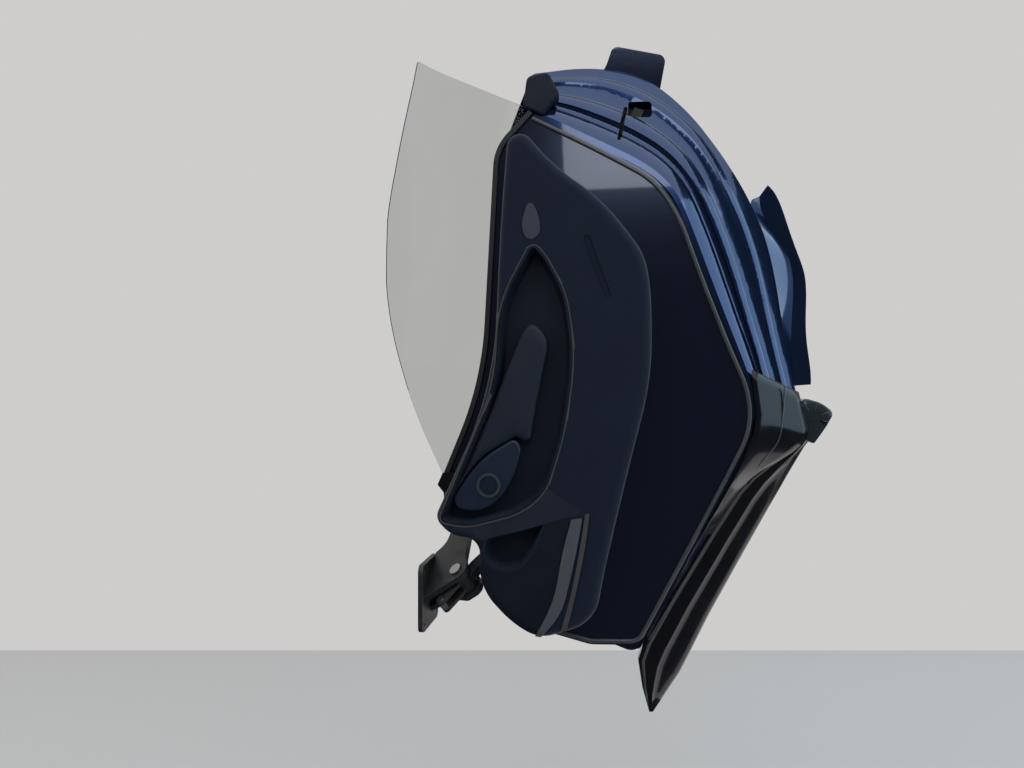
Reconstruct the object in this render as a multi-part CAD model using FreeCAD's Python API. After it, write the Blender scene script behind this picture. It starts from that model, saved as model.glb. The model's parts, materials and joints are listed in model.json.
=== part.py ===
import FreeCAD, Part
import math
import os
from FreeCAD import Vector

# A raised right-hand car door that swings up and forward on one leaning hinge.
# Sizes are millimetres and degrees. The door is drawn shut, with the hinge pivot at
# the origin: X points outboard, Y forward, Z up, and X = 0 is the plane of the seal.
# Everything on the door is then turned open about the hinge axis.

# Radius that asks for the largest round the sides beside a corner can hold, and the
# share of the shorter side that one round may take
SMOOTH = 9999.0
ROUND_SHARE = 0.49

# Hinge
HINGE_LEAN = 33.0
DOOR_OPENING = 107.0
PIN_RADIUS = 8.0
PIN_CLEARANCE = 0.05
EYE_RADIUS = 20.0
EYE_HALF_LENGTH = 19.5
CHEEK_GAP = 1.5
CHEEK_THICKNESS = 12.0
CHEEK_BOSS_RADIUS = 24.0
CHEEK_DEPTH = 120.0
PIN_HEAD_RADIUS = 13.0
PIN_HEAD_LENGTH = 5.0
PIN_CLIP_RADIUS = 11.0
PIN_CLIP_LENGTH = 3.0

# Foot of the hinge bracket, which bolts to the body
FOOT_INBOARD = 90.0
FOOT_THICKNESS = 10.0
FOOT_FORWARD = 26.0
FOOT_DROP = 34.0
FOOT_CORNER = 16.0
BOLT_SPACING = 108.0
BOLT_EDGE = 16.0
BOLT_HOLE_RADIUS = 4.5
FOOT_SIDE = BOLT_SPACING + 2 * BOLT_EDGE

# Upper cheek: corners at the hinge and at the foot, and the corners round the strut's
# stud measured from it; forward, inboard, radius
CHEEK_AT_HINGE = [
    (-CHEEK_BOSS_RADIUS, -CHEEK_BOSS_RADIUS, CHEEK_BOSS_RADIUS - 1.0),
    (20.0, -CHEEK_BOSS_RADIUS, 60.0),
]
CHEEK_AT_STRUT = [
    (-6.0, -18.5, 16.0),
    (17.0, 11.5, 16.0),
]
CHEEK_AT_FOOT = [
    (110.0, 16.0, 40.0),
    (78.0, CHEEK_DEPTH, 0.0),
    (-CHEEK_BOSS_RADIUS, CHEEK_DEPTH, 0.0),
]
LOWER_CHEEK = [
    (-CHEEK_BOSS_RADIUS, -CHEEK_BOSS_RADIUS, CHEEK_BOSS_RADIUS - 1.0),
    (CHEEK_BOSS_RADIUS, -CHEEK_BOSS_RADIUS, CHEEK_BOSS_RADIUS - 1.0),
    (60.0, 40.0, 30.0),
    (78.0, CHEEK_DEPTH, 0.0),
    (20.0, CHEEK_DEPTH, 0.0),
    (2.0, 44.0, 20.0),
    (-CHEEK_BOSS_RADIUS, 16.0, 12.0),
]

# Hinge arm: neck outline square to the pin as forward, inboard, radius; its half
# thickness; and the pad on the panel as y, z, radius
ARM_NECK = [
    (-2.0, 14.0, 4.0),
    (-22.0, 13.0, 20.0),
    (-42.0, 4.0, 20.0),
    (-95.0, 10.0, 60.0),
    (-160.0, 37.0, 12.0),
    (-172.0, 1.0, 12.0),
    (-100.0, -27.0, 60.0),
    (-34.0, -24.0, 40.0),
    (-2.0, -16.0, 4.0),
]
ARM_HALF_THICKNESS = 9.0
ARM_REAR_OF_EDGE = -90.0
ARM_PAD = [
    (-190.0, -120.0, 12.0),
    (-92.0, -130.0, 12.0),
    (-84.0, -62.0, 12.0),
    (-182.0, -40.0, 12.0),
]
ARM_PAD_THICKNESS = 10.0

# Gas strut: where its two ends sit, as distance from the hinge and angle round it
STRUT_FOOT_REACH = 260.0
STRUT_FOOT_ANGLE = -15.0
CRANK_REACH = 65.0
CRANK_LEAD = 30.0
CRANK_ROOT_HALF = 15.0
CRANK_END_HALF = 10.0
CRANK_END_ROUND = 9.0
STUD_RADIUS = 5.0
STUD_HEAD_RADIUS = 8.0
STUD_HEAD_LENGTH = 4.0
STRUT_EYE_RADIUS = 10.0
STRUT_EYE_HALF = 7.0
ROD_EYE_CLEARANCE = 0.5
TUBE_RADIUS = 11.0
TUBE_BORE = 8.0
TUBE_START = 20.0
TUBE_LENGTH = 145.0
TUBE_END_WALL = 8.0
TUBE_NECK_RADIUS = 6.0
GLAND_LENGTH = 12.0
ROD_RADIUS = 5.0
ROD_CLEARANCE = 0.1
ROD_INSIDE = 25.0
FORK_PLATE = 6.0
FORK_GAP = 1.0

# Depths of the door's layers, all as X
PANEL_X = 0.0
PANEL_THICKNESS = 4.0
PLATEAU_X = -10.0
PLATEAU_SLOPE = 10.0
CARD_FACE = -50.0
CARD_WALL = 5.0
CARD_ROUND = 20.0
SKIN_THICKNESS = 4.0
SEAT = 0.3
SEAM = 0.4

# Blocks that cut reach this far past what they cut
BEYOND = 300.0

# Belt line of the door, front to rear: y, z, radius
BELT = [
    (-158.0, 121.0, 0.0),
    (-400.0, 128.0, 700.0),
    (-850.0, 300.0, 90.0),
    (-944.0, 266.0, 0.0),
]
BELT_SEAL_HEIGHT = 10.0
INNER_BELT_SEAL = (-8.0, 3.4)
OUTER_BELT_SEAL = (12.3, 22.0)

# Inner panel below the belt, rear to front: y, z, radius
PANEL_LOWER = [
    (-944.0, 266.0, 16.0),
    (-936.0, 141.0, SMOOTH),
    (-930.0, 70.0, SMOOTH),
    (-920.0, -24.0, SMOOTH),
    (-871.0, -101.0, SMOOTH),
    (-768.0, -198.0, SMOOTH),
    (-656.0, -312.0, SMOOTH),
    (-602.0, -372.0, SMOOTH),
    (-530.0, -407.0, SMOOTH),
    (-440.0, -405.0, SMOOTH),
    (-40.0, -382.0, 40.0),
    (5.0, -290.0, 60.0),
    (26.0, -175.0, 50.0),
    (-15.0, -60.0, 40.0),
    (-94.0, -5.0, 30.0),
    (-102.0, 94.0, 12.0),
    (-158.0, 121.0, 6.0),
]

# Raised field of the panel under the card: y, z, radius
FIELD_OUTLINE = [
    (-130.0, 80.0, 14.0),
    (-405.0, 88.0, 600.0),
    (-690.0, 192.0, 300.0),
    (-858.0, 256.0, 24.0),
    (-812.0, 60.0, 200.0),
    (-746.0, -48.0, 150.0),
    (-688.0, -84.0, 150.0),
    (-548.0, -152.0, 200.0),
    (-358.0, -188.0, 300.0),
    (-150.0, -230.0, 200.0),
    (-58.0, -244.0, 40.0),
    (-8.0, -180.0, 40.0),
    (-12.0, -124.0, 60.0),
    (-46.0, -60.0, 40.0),
    (-122.0, -20.0, 24.0),
]

# Trim card on the inner panel: y, z, radius
CARD_OUTLINE = [
    (-100.0, 107.0, 26.0),
    (-399.0, 105.0, SMOOTH),
    (-687.0, 221.0, SMOOTH),
    (-920.0, 303.0, 28.0),
    (-857.0, 179.0, SMOOTH),
    (-832.0, 58.0, SMOOTH),
    (-765.0, -65.0, SMOOTH),
    (-701.0, -107.0, SMOOTH),
    (-546.0, -179.0, SMOOTH),
    (-358.0, -211.0, SMOOTH),
    (-145.0, -253.0, SMOOTH),
    (-50.0, -277.0, SMOOTH),
    (31.0, -190.0, SMOOTH),
    (26.0, -125.0, SMOOTH),
    (-9.0, -37.0, SMOOTH),
    (-101.0, 4.0, SMOOTH),
    (-81.0, 61.0, SMOOTH),
]

# Oval recess of the card: y, z, radius; and how far its walls lean in
OVAL_OUTLINE = [
    (-100.0, 95.0, 12.0),
    (-402.0, 101.0, SMOOTH),
    (-555.0, 163.0, SMOOTH),
    (-699.0, 152.0, SMOOTH),
    (-684.0, 115.0, SMOOTH),
    (-630.0, 44.0, SMOOTH),
    (-523.0, -22.0, SMOOTH),
    (-378.0, -66.0, SMOOTH),
    (-248.0, -82.0, SMOOTH),
    (-185.0, -50.0, SMOOTH),
    (-113.0, 38.0, SMOOTH),
]
TRAY_SLOPE = 10.0

# Armrest pad inside the recess: y, z, radius
PAD_OUTLINE = [
    (-552.0, 88.0, SMOOTH),
    (-534.0, 40.0, SMOOTH),
    (-400.0, 11.0, SMOOTH),
    (-319.0, -14.0, SMOOTH),
    (-296.0, 0.0, 8.0),
    (-200.0, 56.0, SMOOTH),
    (-128.0, 100.0, SMOOTH),
    (-290.0, 88.0, SMOOTH),
    (-520.0, 98.0, SMOOTH),
]
PAD_FACE = -46.0
PAD_ROUND = 7.0

# Speaker pod at the front of the recess: y, z, radius
POD_OUTLINE = [
    (-322.0, 22.0, SMOOTH),
    (-307.0, 0.0, SMOOTH),
    (-245.0, -9.0, SMOOTH),
    (-190.0, -1.0, SMOOTH),
    (-152.0, 26.0, SMOOTH),
    (-132.0, 92.0, SMOOTH),
    (-208.0, 80.0, SMOOTH),
    (-262.0, 63.0, SMOOTH),
]
POD_FACE = -42.0
POD_ROUND = 6.0
WELL_FLOOR = -36.0
GRILLE_PLACE = (-211.0, 31.0)
GRILLE_RADIUS = 25.0
GRILLE_RING = 6.0
GRILLE_FACE = -41.0
GRILLE_RIM_FACE = -45.0

# Pull band between the recess and the pocket, open behind: y, z, radius
BAND_OUTLINE = [
    (-20.0, 118.0, 0.0),
    (-130.0, -38.0, SMOOTH),
    (-244.0, -166.0, 4.0),
    (-262.0, -60.0, 4.0),
    (-200.0, 20.0, 0.0),
    (-90.0, 130.0, 0.0),
]
BAND_DEPTH = 12.0

# Map pocket, which runs up behind the band: y, z, radius
POCKET_OUTLINE = [
    (-200.0, -108.0, 14.0),
    (-130.0, -109.0, SMOOTH),
    (-93.0, -103.0, SMOOTH),
    (-66.0, -78.0, SMOOTH),
    (-56.0, -41.0, SMOOTH),
    (-80.0, -10.0, SMOOTH),
    (-132.0, -6.0, 12.0),
    (-194.0, -70.0, 12.0),
]

# Region of the card that the kick card fills: y, z, radius
KICK_REGION = [
    (-20.0, 118.0, 0.0),
    (80.0, 118.0, 0.0),
    (80.0, -177.0, 0.0),
    (-56.0, -184.0, SMOOTH),
    (-149.0, -159.0, SMOOTH),
    (-238.0, -145.0, 4.0),
    (-180.0, -60.0, 0.0),
]

# Metal strip and the second strip below it: y, z, radius
STRIP_OUTLINE = [
    (-221.0, -149.5, 2.0),
    (-234.0, -168.0, 3.0),
    (-150.0, -189.0, SMOOTH),
    (-42.0, -209.0, SMOOTH),
    (24.0, -191.0, 3.0),
    (44.0, -178.5, 3.0),
    (-56.0, -186.0, SMOOTH),
    (-149.0, -161.0, SMOOTH),
]
EDGE_STRIP_OUTLINE = [
    (-243.0, -170.0, 2.0),
    (-249.0, -177.0, 2.0),
    (-187.0, -196.0, SMOOTH),
    (-118.0, -212.0, SMOOTH),
    (-60.0, -224.0, SMOOTH),
    (-12.0, -232.0, 3.0),
    (-4.0, -222.0, 3.0),
    (-62.0, -214.0, SMOOTH),
    (-113.0, -204.0, SMOOTH),
    (-182.0, -187.0, SMOOTH),
]
STRIP_THICKNESS = 2.5

# Teardrop inset near the rear of the card: y, z, radius
TEARDROP_OUTLINE = [
    (-779.0, 194.0, SMOOTH),
    (-718.0, 184.0, SMOOTH),
    (-694.0, 160.0, SMOOTH),
    (-716.0, 140.0, SMOOTH),
    (-752.0, 159.0, SMOOTH),
]
TEARDROP_SINK = 2.0

# Moulded groove in the card, from one end to the other
GROOVE_ENDS = ((-746.0, 52.0), (-662.0, -29.0))
GROOVE_RADIUS = 8.0
GROOVE_DEPTH = 3.2

# Door outer edge in three runs, front top to front bottom: y, z, radius
SKIN_BELT = [
    (-146.0, 119.0, 8.0),
    (-400.0, 126.0, 700.0),
    (-850.0, 300.0, 160.0),
]
SKIN_EDGE = [
    (-1029.0, 313.0, 24.0),
    (-1094.0, 215.0, SMOOTH),
    (-1121.0, 97.0, SMOOTH),
    (-1087.0, -20.0, SMOOTH),
    (-1007.0, -159.0, SMOOTH),
    (-905.0, -278.0, SMOOTH),
    (-760.0, -370.0, SMOOTH),
    (-638.0, -460.0, SMOOTH),
    (-566.0, -516.0, SMOOTH),
    (-525.0, -501.0, SMOOTH),
    (-435.0, -439.0, SMOOTH),
    (-300.0, -421.0, SMOOTH),
    (-140.0, -402.0, SMOOTH),
    (0.0, -392.0, 30.0),
]
SKIN_FRONT = [
    (12.0, -290.0, 80.0),
    (34.0, -170.0, 50.0),
    (-8.0, -58.0, 40.0),
    (-82.0, 0.0, 40.0),
    (-96.0, 92.0, 14.0),
]
SKIN_OUTLINE = SKIN_BELT + SKIN_EDGE + SKIN_FRONT
SKIN_REACH = 200.0

# Outer skin sections: y, then x and z at the lower edge, the tuck, the shoulder,
# the upper waist and the belt
SKIN_SECTIONS = [
    (60.0, (64, -450), (80, -320), (104, -200), (70, -30), (18, 126)),
    (-80.0, (64, -455), (84, -320), (110, -190), (74, -20), (18, 126)),
    (-320.0, (64, -475), (90, -330), (122, -180), (104, 0), (18, 130)),
    (-620.0, (64, -560), (88, -400), (106, -140), (112, 60), (18, 222)),
    (-880.0, (62, -340), (78, -220), (96, -60), (98, 130), (22, 316)),
    (-1140.0, (64, -260), (70, -120), (70, 10), (74, 130), (64, 340)),
]

# Jamb profiles, as arcs or lines, each from the end of the one before: share of the
# width and depth at its middle, share and depth at its end. The narrow one is for the
# sill, where the ridges run out.
RIDGED_PROFILE = [
    (0.035, 0.0, 0.07, 0.0),
    (0.16, 6.0, 0.26, 20.0),
    (0.31, 22.0, 0.36, 16.0),
    (0.42, 18.0, 0.52, 32.0),
    (0.62, 36.0, 0.72, 36.5),
    (0.78, 39.0, 0.84, 48.0),
    (0.95, 51.5, 1.06, 52.0),
]
NARROW_PROFILE = [
    (0.05, 0.0, 0.10, 0.0),
    (0.20, 7.0, 0.30, 14.0),
    (0.35, 17.0, 0.40, 20.0),
    (0.475, 25.0, 0.55, 30.0),
    (0.635, 34.0, 0.72, 38.0),
    (0.785, 42.0, 0.85, 46.0),
    (0.955, 49.0, 1.06, 52.0),
]
JAMB_THICKNESS = 4.0

# Jamb sections round the rear edge and along the sill: seal y and z, outer edge y and
# z, share of the depth, profile, how far the back stands towards the seal; the last
# rear row is the first sill row
JAMB_REAR = [
    (-940.0, 262.0, -1034.0, 312.0, 0.50, RIDGED_PROFILE, 0.0),
    (-938.0, 175.0, -1106.0, 182.0, 1.00, RIDGED_PROFILE, 0.0),
    (-931.0, 66.0, -1116.0, 70.0, 1.00, RIDGED_PROFILE, 0.0),
    (-914.0, -34.0, -1078.0, -56.0, 1.00, RIDGED_PROFILE, 0.0),
    (-858.0, -112.0, -990.0, -182.0, 1.00, RIDGED_PROFILE, 0.0),
    (-768.0, -200.0, -866.0, -300.0, 1.00, RIDGED_PROFILE, 0.0),
    (-658.0, -312.0, -742.0, -384.0, 1.00, RIDGED_PROFILE, 0.0),
    (-598.0, -369.0, -652.0, -450.0, 1.00, RIDGED_PROFILE, 0.0),
    (-530.0, -407.0, -566.0, -512.0, 1.00, RIDGED_PROFILE, 0.0),
]
JAMB_SILL = JAMB_REAR[-1:] + [
    (-450.0, -406.0, -450.0, -452.0, 1.00, NARROW_PROFILE, 2.0),
    (-300.0, -397.0, -302.0, -424.0, 1.00, NARROW_PROFILE, 2.5),
    (-145.0, -388.5, -140.0, -405.0, 1.00, NARROW_PROFILE, 2.5),
    (-60.0, -384.0, -46.0, -398.0, 1.00, NARROW_PROFILE, 2.5),
]

# Hem where the jamb meets the skin: its distance from the edge, wall and depth
JAMB_MARGIN = 1.5
HEM_WALL = 3.0
HEM_X = 56.0
HEM_REACH = 130.0

# Bead of the seal round the door opening
SEAL_WIDTH = 8.0
SEAL_HEIGHT = 6.0
SEAL_ROUND = 2.8
SEAL_INSET = 4.0

# Floating outer blade: y, lower x and z, upper x and z; and the outline of its free end
TENDON_SECTIONS = [
    (-300.0, 100.0, -20.0, 76.0, 60.0),
    (-460.0, 118.0, -24.0, 98.0, 90.0),
    (-700.0, 134.0, -20.0, 122.0, 132.0),
    (-920.0, 130.0, 20.0, 120.0, 170.0),
    (-1080.0, 110.0, 48.0, 102.0, 192.0),
    (-1200.0, 94.0, 60.0, 88.0, 200.0),
]
TENDON_TRIM = [
    (-250.0, -100.0, 0.0),
    (-250.0, 260.0, 0.0),
    (-1000.0, 260.0, 0.0),
    (-1110.0, 182.0, 60.0),
    (-1166.0, 186.0, 14.0),
    (-1188.0, 72.0, 16.0),
    (-1106.0, 52.0, 30.0),
    (-1000.0, -100.0, 0.0),
]
TENDON_THICKNESS = 6.0

# Air scoop blade, rear tip first: base x, y, z, valley x, y, z and lip x, y, z
SCOOP_SECTIONS = [
    ((86, -972, -218), (99, -988, -230), (100, -1016, -236)),
    ((60, -944, -228), (108, -942, -274), (104, -976, -290)),
    ((58, -916, -254), (112, -912, -322), (107, -926, -336)),
    ((58, -876, -284), (115, -868, -360), (108, -880, -379)),
    ((58, -796, -336), (113, -790, -394), (107, -800, -419)),
    ((60, -708, -398), (109, -712, -428), (105, -726, -457)),
    ((62, -644, -446), (103, -654, -462), (102, -668, -488)),
]
SCOOP_THICKNESS = 5.0

# Sill blade stations: y, top z, bottom z, width share; then its forward tip
SILL_STATIONS = [
    (-600.0, -500.0, -540.0, 1.0),
    (-545.0, -496.0, -531.0, 1.0),
    (-440.0, -436.0, -522.0, 1.0),
    (-300.0, -412.0, -511.0, 1.0),
    (-134.0, -394.0, -500.0, 1.0),
    (0.0, -385.0, -497.0, 1.0),
]
SILL_TIP = (106.0, -468.0, -478.0, 0.3)

# Sill blade profile: x and share of the height from the top
SILL_PROFILE = [
    (60.0, 0.0),
    (72.0, 0.22),
    (76.0, 0.24),
    (80.0, 0.34),
    (80.5, 0.38),
    (96.0, 0.80),
    (106.0, 1.0),
    (118.0, 0.98),
    (124.0, 0.86),
    (112.0, 0.45),
    (98.0, 0.12),
    (92.0, 0.0),
]
SILL_MIDDLE_X = 92.0

# Cap on the rear end of the sill blade: y, z, radius; and its depths
SILL_CAP = [
    (-600.6, -498.0, 5.0),
    (-632.0, -490.0, 10.0),
    (-648.0, -538.0, 12.0),
    (-600.6, -548.0, 5.0),
]
SILL_CAP_DEPTHS = (62.0, 120.0)

# Side glass: sections y, belt z, height above the belt and lean at the top
GLASS_SECTIONS = [
    (-150.0, 121.0, 120.0, 60.0),
    (-400.0, 136.0, 185.0, 140.0),
    (-620.0, 214.0, 195.0, 165.0),
    (-840.0, 290.0, 190.0, 150.0),
    (-980.0, 300.0, 200.0, 130.0),
]
GLASS_FOOT_X = 12.0
GLASS_FOOT_DEPTH = 30.0
GLASS_THICKNESS = 4.0
GLASS_BULGE = (0.2, 0.45)
GLASS_OUTLINE = [
    (-176.0, 100.0, 6.0),
    (-165.0, 119.0, 8.0),
    (-270.0, 225.0, SMOOTH),
    (-420.0, 325.0, SMOOTH),
    (-600.0, 405.0, SMOOTH),
    (-790.0, 461.0, SMOOTH),
    (-926.0, 491.0, 5.0),
    (-948.0, 400.0, SMOOTH),
    (-955.0, 300.0, 20.0),
    (-930.0, 240.0, 10.0),
    (-850.0, 262.0, 60.0),
    (-400.0, 92.0, 600.0),
]

# Black cover at the belt's rear end: y, z, radius; its depths and edge round
CORNER_OUTLINE = [
    (-949.5, 246.0, 6.0),
    (-949.5, 290.0, 10.0),
    (-1010.0, 308.0, 14.0),
    (-1034.0, 270.0, 14.0),
    (-1002.0, 230.0, 14.0),
]
CORNER_DEPTHS = (-8.0, 60.0)
CORNER_ROUND = 5.0

# Back of the corner cover, which follows the jamb: x, y
CORNER_BACK = [
    (90.0, -930.0),
    (3.7, -930.0),
    (3.7, -952.0),
    (11.0, -976.0),
    (20.0, -1008.0),
    (27.0, -1040.0),
    (90.0, -1040.0),
]

# Black wedge at the belt's front end: y, z, radius; and its depths
WEDGE_OUTLINE = [
    (-200.0, 110.0, 2.0),
    (-190.0, 132.0, 3.0),
    (-162.0, 132.0, 3.0),
    (-151.0, 110.0, 3.0),
]
WEDGE_DEPTHS = (-20.0, -8.3)

# Latch in the rear edge: its case, the slot in it, the slit and window in the jamb
LATCH_PLACE = (-1000.0, 90.0)
LATCH_SIZE = (96.0, 56.0, 26.0)
LATCH_X = 45.0
LATCH_SLOT = 14.0
LATCH_SLOT_SHARE = 0.7
SLIT_ENDS = ((-1036.0, 98.0), (-968.0, 82.0))
SLIT_RADIUS = 4.0
LATCH_WINDOW = [
    (-1052.0, 99.0, 5.0),
    (-1070.0, 55.0, 8.0),
    (-1040.0, 40.0, 8.0),
    (-1021.0, 86.0, 5.0),
]
CLAW_LENGTH = 24.0
CLAW_JAW = 3.5
CLAW_JAW_SHARE = 0.6
CLAW_DEPTHS = (50.0, 58.0)

# Axes of the hinge: along the pin, and the two directions square to it
LEAN_TANGENT = math.tan(math.radians(HINGE_LEAN))
HINGE_AXIS = Vector(-LEAN_TANGENT, -LEAN_TANGENT, 1.0).normalize()
FORWARD_AXIS = (Vector(0, 1, 0) - HINGE_AXIS * HINGE_AXIS.y).normalize()
INBOARD_AXIS = HINGE_AXIS.cross(FORWARD_AXIS)
ORIGIN = Vector(0, 0, 0)
PIVOT = Vector(FOOT_INBOARD, -FOOT_FORWARD, FOOT_DROP)


def hinge_point(forward, inboard, along):
    """Point given in the hinge's own directions."""
    return FORWARD_AXIS * forward + INBOARD_AXIS * inboard + HINGE_AXIS * along


def hinge_polar(reach, angle, along=0.0):
    """Point at a reach and angle round the hinge pin."""
    turn = math.radians(angle)
    return hinge_point(reach * math.cos(turn), reach * math.sin(turn), along)


def fitted(corners):
    """The same corners, each radius cut back to what its shorter side can hold."""
    count = len(corners)
    result = []
    for i in range(count):
        u, v, radius = corners[i]
        back_u = corners[i - 1][0] - u
        back_v = corners[i - 1][1] - v
        ahead_u = corners[(i + 1) % count][0] - u
        ahead_v = corners[(i + 1) % count][1] - v
        shorter = min(math.hypot(back_u, back_v), math.hypot(ahead_u, ahead_v))
        angle = math.atan2(abs(back_u * ahead_v - back_v * ahead_u), back_u * ahead_u + back_v * ahead_v)
        result.append((u, v, min(radius, shorter * ROUND_SHARE * math.tan(angle / 2))))
    return result


def rounded_wire(corners, place):
    """Closed wire through corners u, v, radius, put in space by place(u, v)."""
    fit = fitted(corners)
    points = [place(u, v) for u, v, radius in fit]
    radii = [radius for u, v, radius in fit]
    count = len(points)
    entries = []
    middles = []
    exits = []
    for i in range(count):
        back = (points[i - 1] - points[i]).normalize()
        ahead = (points[(i + 1) % count] - points[i]).normalize()
        half_angle = back.getAngle(ahead) / 2
        reach = radii[i] / math.tan(half_angle)
        bisector = (back + ahead).normalize()
        entries.append(points[i] + back * reach)
        exits.append(points[i] + ahead * reach)
        middles.append(points[i] + bisector * (radii[i] / math.sin(half_angle) - radii[i]))
    edges = []
    for i in range(count):
        if radii[i] > 0:
            edges.append(Part.Arc(entries[i], middles[i], exits[i]).toShape())
        edges.append(Part.LineSegment(exits[i], entries[(i + 1) % count]).toShape())
    return Part.Wire(edges)


def at_depth(x):
    """Placer for outlines drawn in y and z at one depth."""
    return lambda y, z: Vector(x, y, z)


def at_hinge(along):
    """Placer for outlines drawn square to the hinge pin."""
    return lambda forward, inboard: hinge_point(forward, inboard, along)


def prism(corners, x_from, x_to):
    """Outline in y and z, given a depth in x."""
    face = Part.Face(rounded_wire(corners, at_depth(x_from)))
    return face.extrude(Vector(x_to - x_from, 0, 0))


def hinge_plate(corners, along_from, along_to):
    """Outline square to the hinge pin, given a thickness along it."""
    face = Part.Face(rounded_wire(corners, at_hinge(along_from)))
    return face.extrude(HINGE_AXIS * (along_to - along_from))


def inset(corners, distance):
    """The same outline with every side moved in, or out where distance is negative."""
    fit = fitted(corners)
    count = len(fit)
    area = sum(fit[i - 1][0] * fit[i][1] - fit[i][0] * fit[i - 1][1] for i in range(count))
    side = 1.0 if area > 0 else -1.0
    moved = []
    for i in range(count):
        before = fit[i - 1]
        here = fit[i]
        after = fit[(i + 1) % count]
        run_in = math.hypot(here[0] - before[0], here[1] - before[1])
        run_out = math.hypot(after[0] - here[0], after[1] - here[1])
        in_u = (here[0] - before[0]) / run_in
        in_v = (here[1] - before[1]) / run_in
        out_u = (after[0] - here[0]) / run_out
        out_v = (after[1] - here[1]) / run_out
        turn = (in_u * out_v - in_v * out_u) * side
        share = 1.0 + in_u * out_u + in_v * out_v
        u = here[0] - side * distance * (in_v + out_v) / share
        v = here[1] + side * distance * (in_u + out_u) / share
        radius = here[2] - distance if turn > 0 else here[2] + distance
        moved.append((u, v, max(radius, 1.0) if here[2] > 0 else 0.0))
    return moved


def band(path, width):
    """Closed outline of a strip beside an open path, to its left as it runs."""
    far_side = []
    last = len(path) - 1
    for i, (u, v, radius) in enumerate(path):
        before = path[max(i - 1, 0)]
        here = path[i]
        after = path[min(i + 1, last)]
        run_in = math.hypot(here[0] - before[0], here[1] - before[1])
        run_out = math.hypot(after[0] - here[0], after[1] - here[1])
        in_u = (here[0] - before[0]) / run_in if i > 0 else (after[0] - here[0]) / run_out
        in_v = (here[1] - before[1]) / run_in if i > 0 else (after[1] - here[1]) / run_out
        out_u = (after[0] - here[0]) / run_out if i < last else in_u
        out_v = (after[1] - here[1]) / run_out if i < last else in_v
        share = 1.0 + in_u * out_u + in_v * out_v
        turn = in_u * out_v - in_v * out_u
        shifted = radius - width if turn > 0 else radius + width
        far_side.append((
            u - width * (in_v + out_v) / share,
            v + width * (in_u + out_u) / share,
            max(shifted, 1.0) if radius > 0 else 0.0,
        ))
    return path + far_side[::-1]


def open_ends(path):
    """The same path with no round at its two ends."""
    return [path[0][:2] + (0.0,)] + path[1:-1] + [path[-1][:2] + (0.0,)]


def slot(ends, radius):
    """Outline of a round-ended slot between two y, z places."""
    (y0, z0), (y1, z1) = ends
    length = math.hypot(y1 - y0, z1 - z0)
    along_y = (y1 - y0) / length * radius
    along_z = (z1 - z0) / length * radius
    return [
        (y0 - along_y - along_z, z0 - along_z + along_y, radius),
        (y0 - along_y + along_z, z0 - along_z - along_y, radius),
        (y1 + along_y + along_z, z1 + along_z - along_y, radius),
        (y1 + along_y - along_z, z1 + along_z + along_y, radius),
    ]


def loft_between(lower, lower_x, upper, upper_x):
    """Straight loft between two outlines with as many corners each."""
    wires = [rounded_wire(lower, at_depth(lower_x)), rounded_wire(upper, at_depth(upper_x))]
    return Part.makeLoft(wires, True, True)


def tray_hollow(corners, rim_x, floor_x, gap):
    """Space inside a tray, drawn in by a gap on every side."""
    rim = inset(corners, CARD_WALL + gap)
    return loft_between(rim, rim_x, inset(rim, TRAY_SLOPE), floor_x - CARD_WALL - gap)


def tray(corners, rim_x, floor_x):
    """Open pan: its rim outline at rim_x, its leaning walls and its floor."""
    outside = loft_between(corners, rim_x, inset(corners, TRAY_SLOPE), floor_x)
    return outside.cut(tray_hollow(corners, rim_x, floor_x, 0.0))


def round_face(solid, x, radius):
    """Round the edges that lie wholly in one plane of constant x."""
    edges = [e for e in solid.Edges if abs(e.BoundBox.XMin - x) < 0.01 and abs(e.BoundBox.XMax - x) < 0.01]
    return solid.makeFillet(radius, edges)


def post(place, radius, x_from, x_to):
    """Round post along x at a y, z place."""
    start = Vector(x_from, place[0], place[1])
    return Part.makeCylinder(radius, x_to - x_from, start, Vector(1, 0, 0))


def pin(centre, radius, along_from, along_to):
    """Round pin along the hinge axis through a centre point."""
    start = centre + HINGE_AXIS * along_from
    return Part.makeCylinder(radius, along_to - along_from, start, HINGE_AXIS)


def largest(shape):
    """The largest solid of a shape."""
    return max(shape.Solids, key=lambda piece: piece.Volume)


def opened(shape):
    """Turn a door piece from shut to open and set it on the hinge."""
    moved = shape.copy()
    moved.rotate(ORIGIN, HINGE_AXIS, DOOR_OPENING)
    moved.translate(PIVOT)
    return moved


def standing(shape):
    """Set a piece that doesn't turn with the door beside the hinge."""
    moved = shape.copy()
    moved.translate(PIVOT)
    return moved


def strut_foot():
    """Where the strut's fixed stud stands."""
    return hinge_polar(STRUT_FOOT_REACH, STRUT_FOOT_ANGLE)


def crank_end(opening):
    """Where the strut's stud on the door stands, at an opening angle of the door."""
    return hinge_polar(CRANK_REACH, STRUT_FOOT_ANGLE + CRANK_LEAD + opening)


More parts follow.
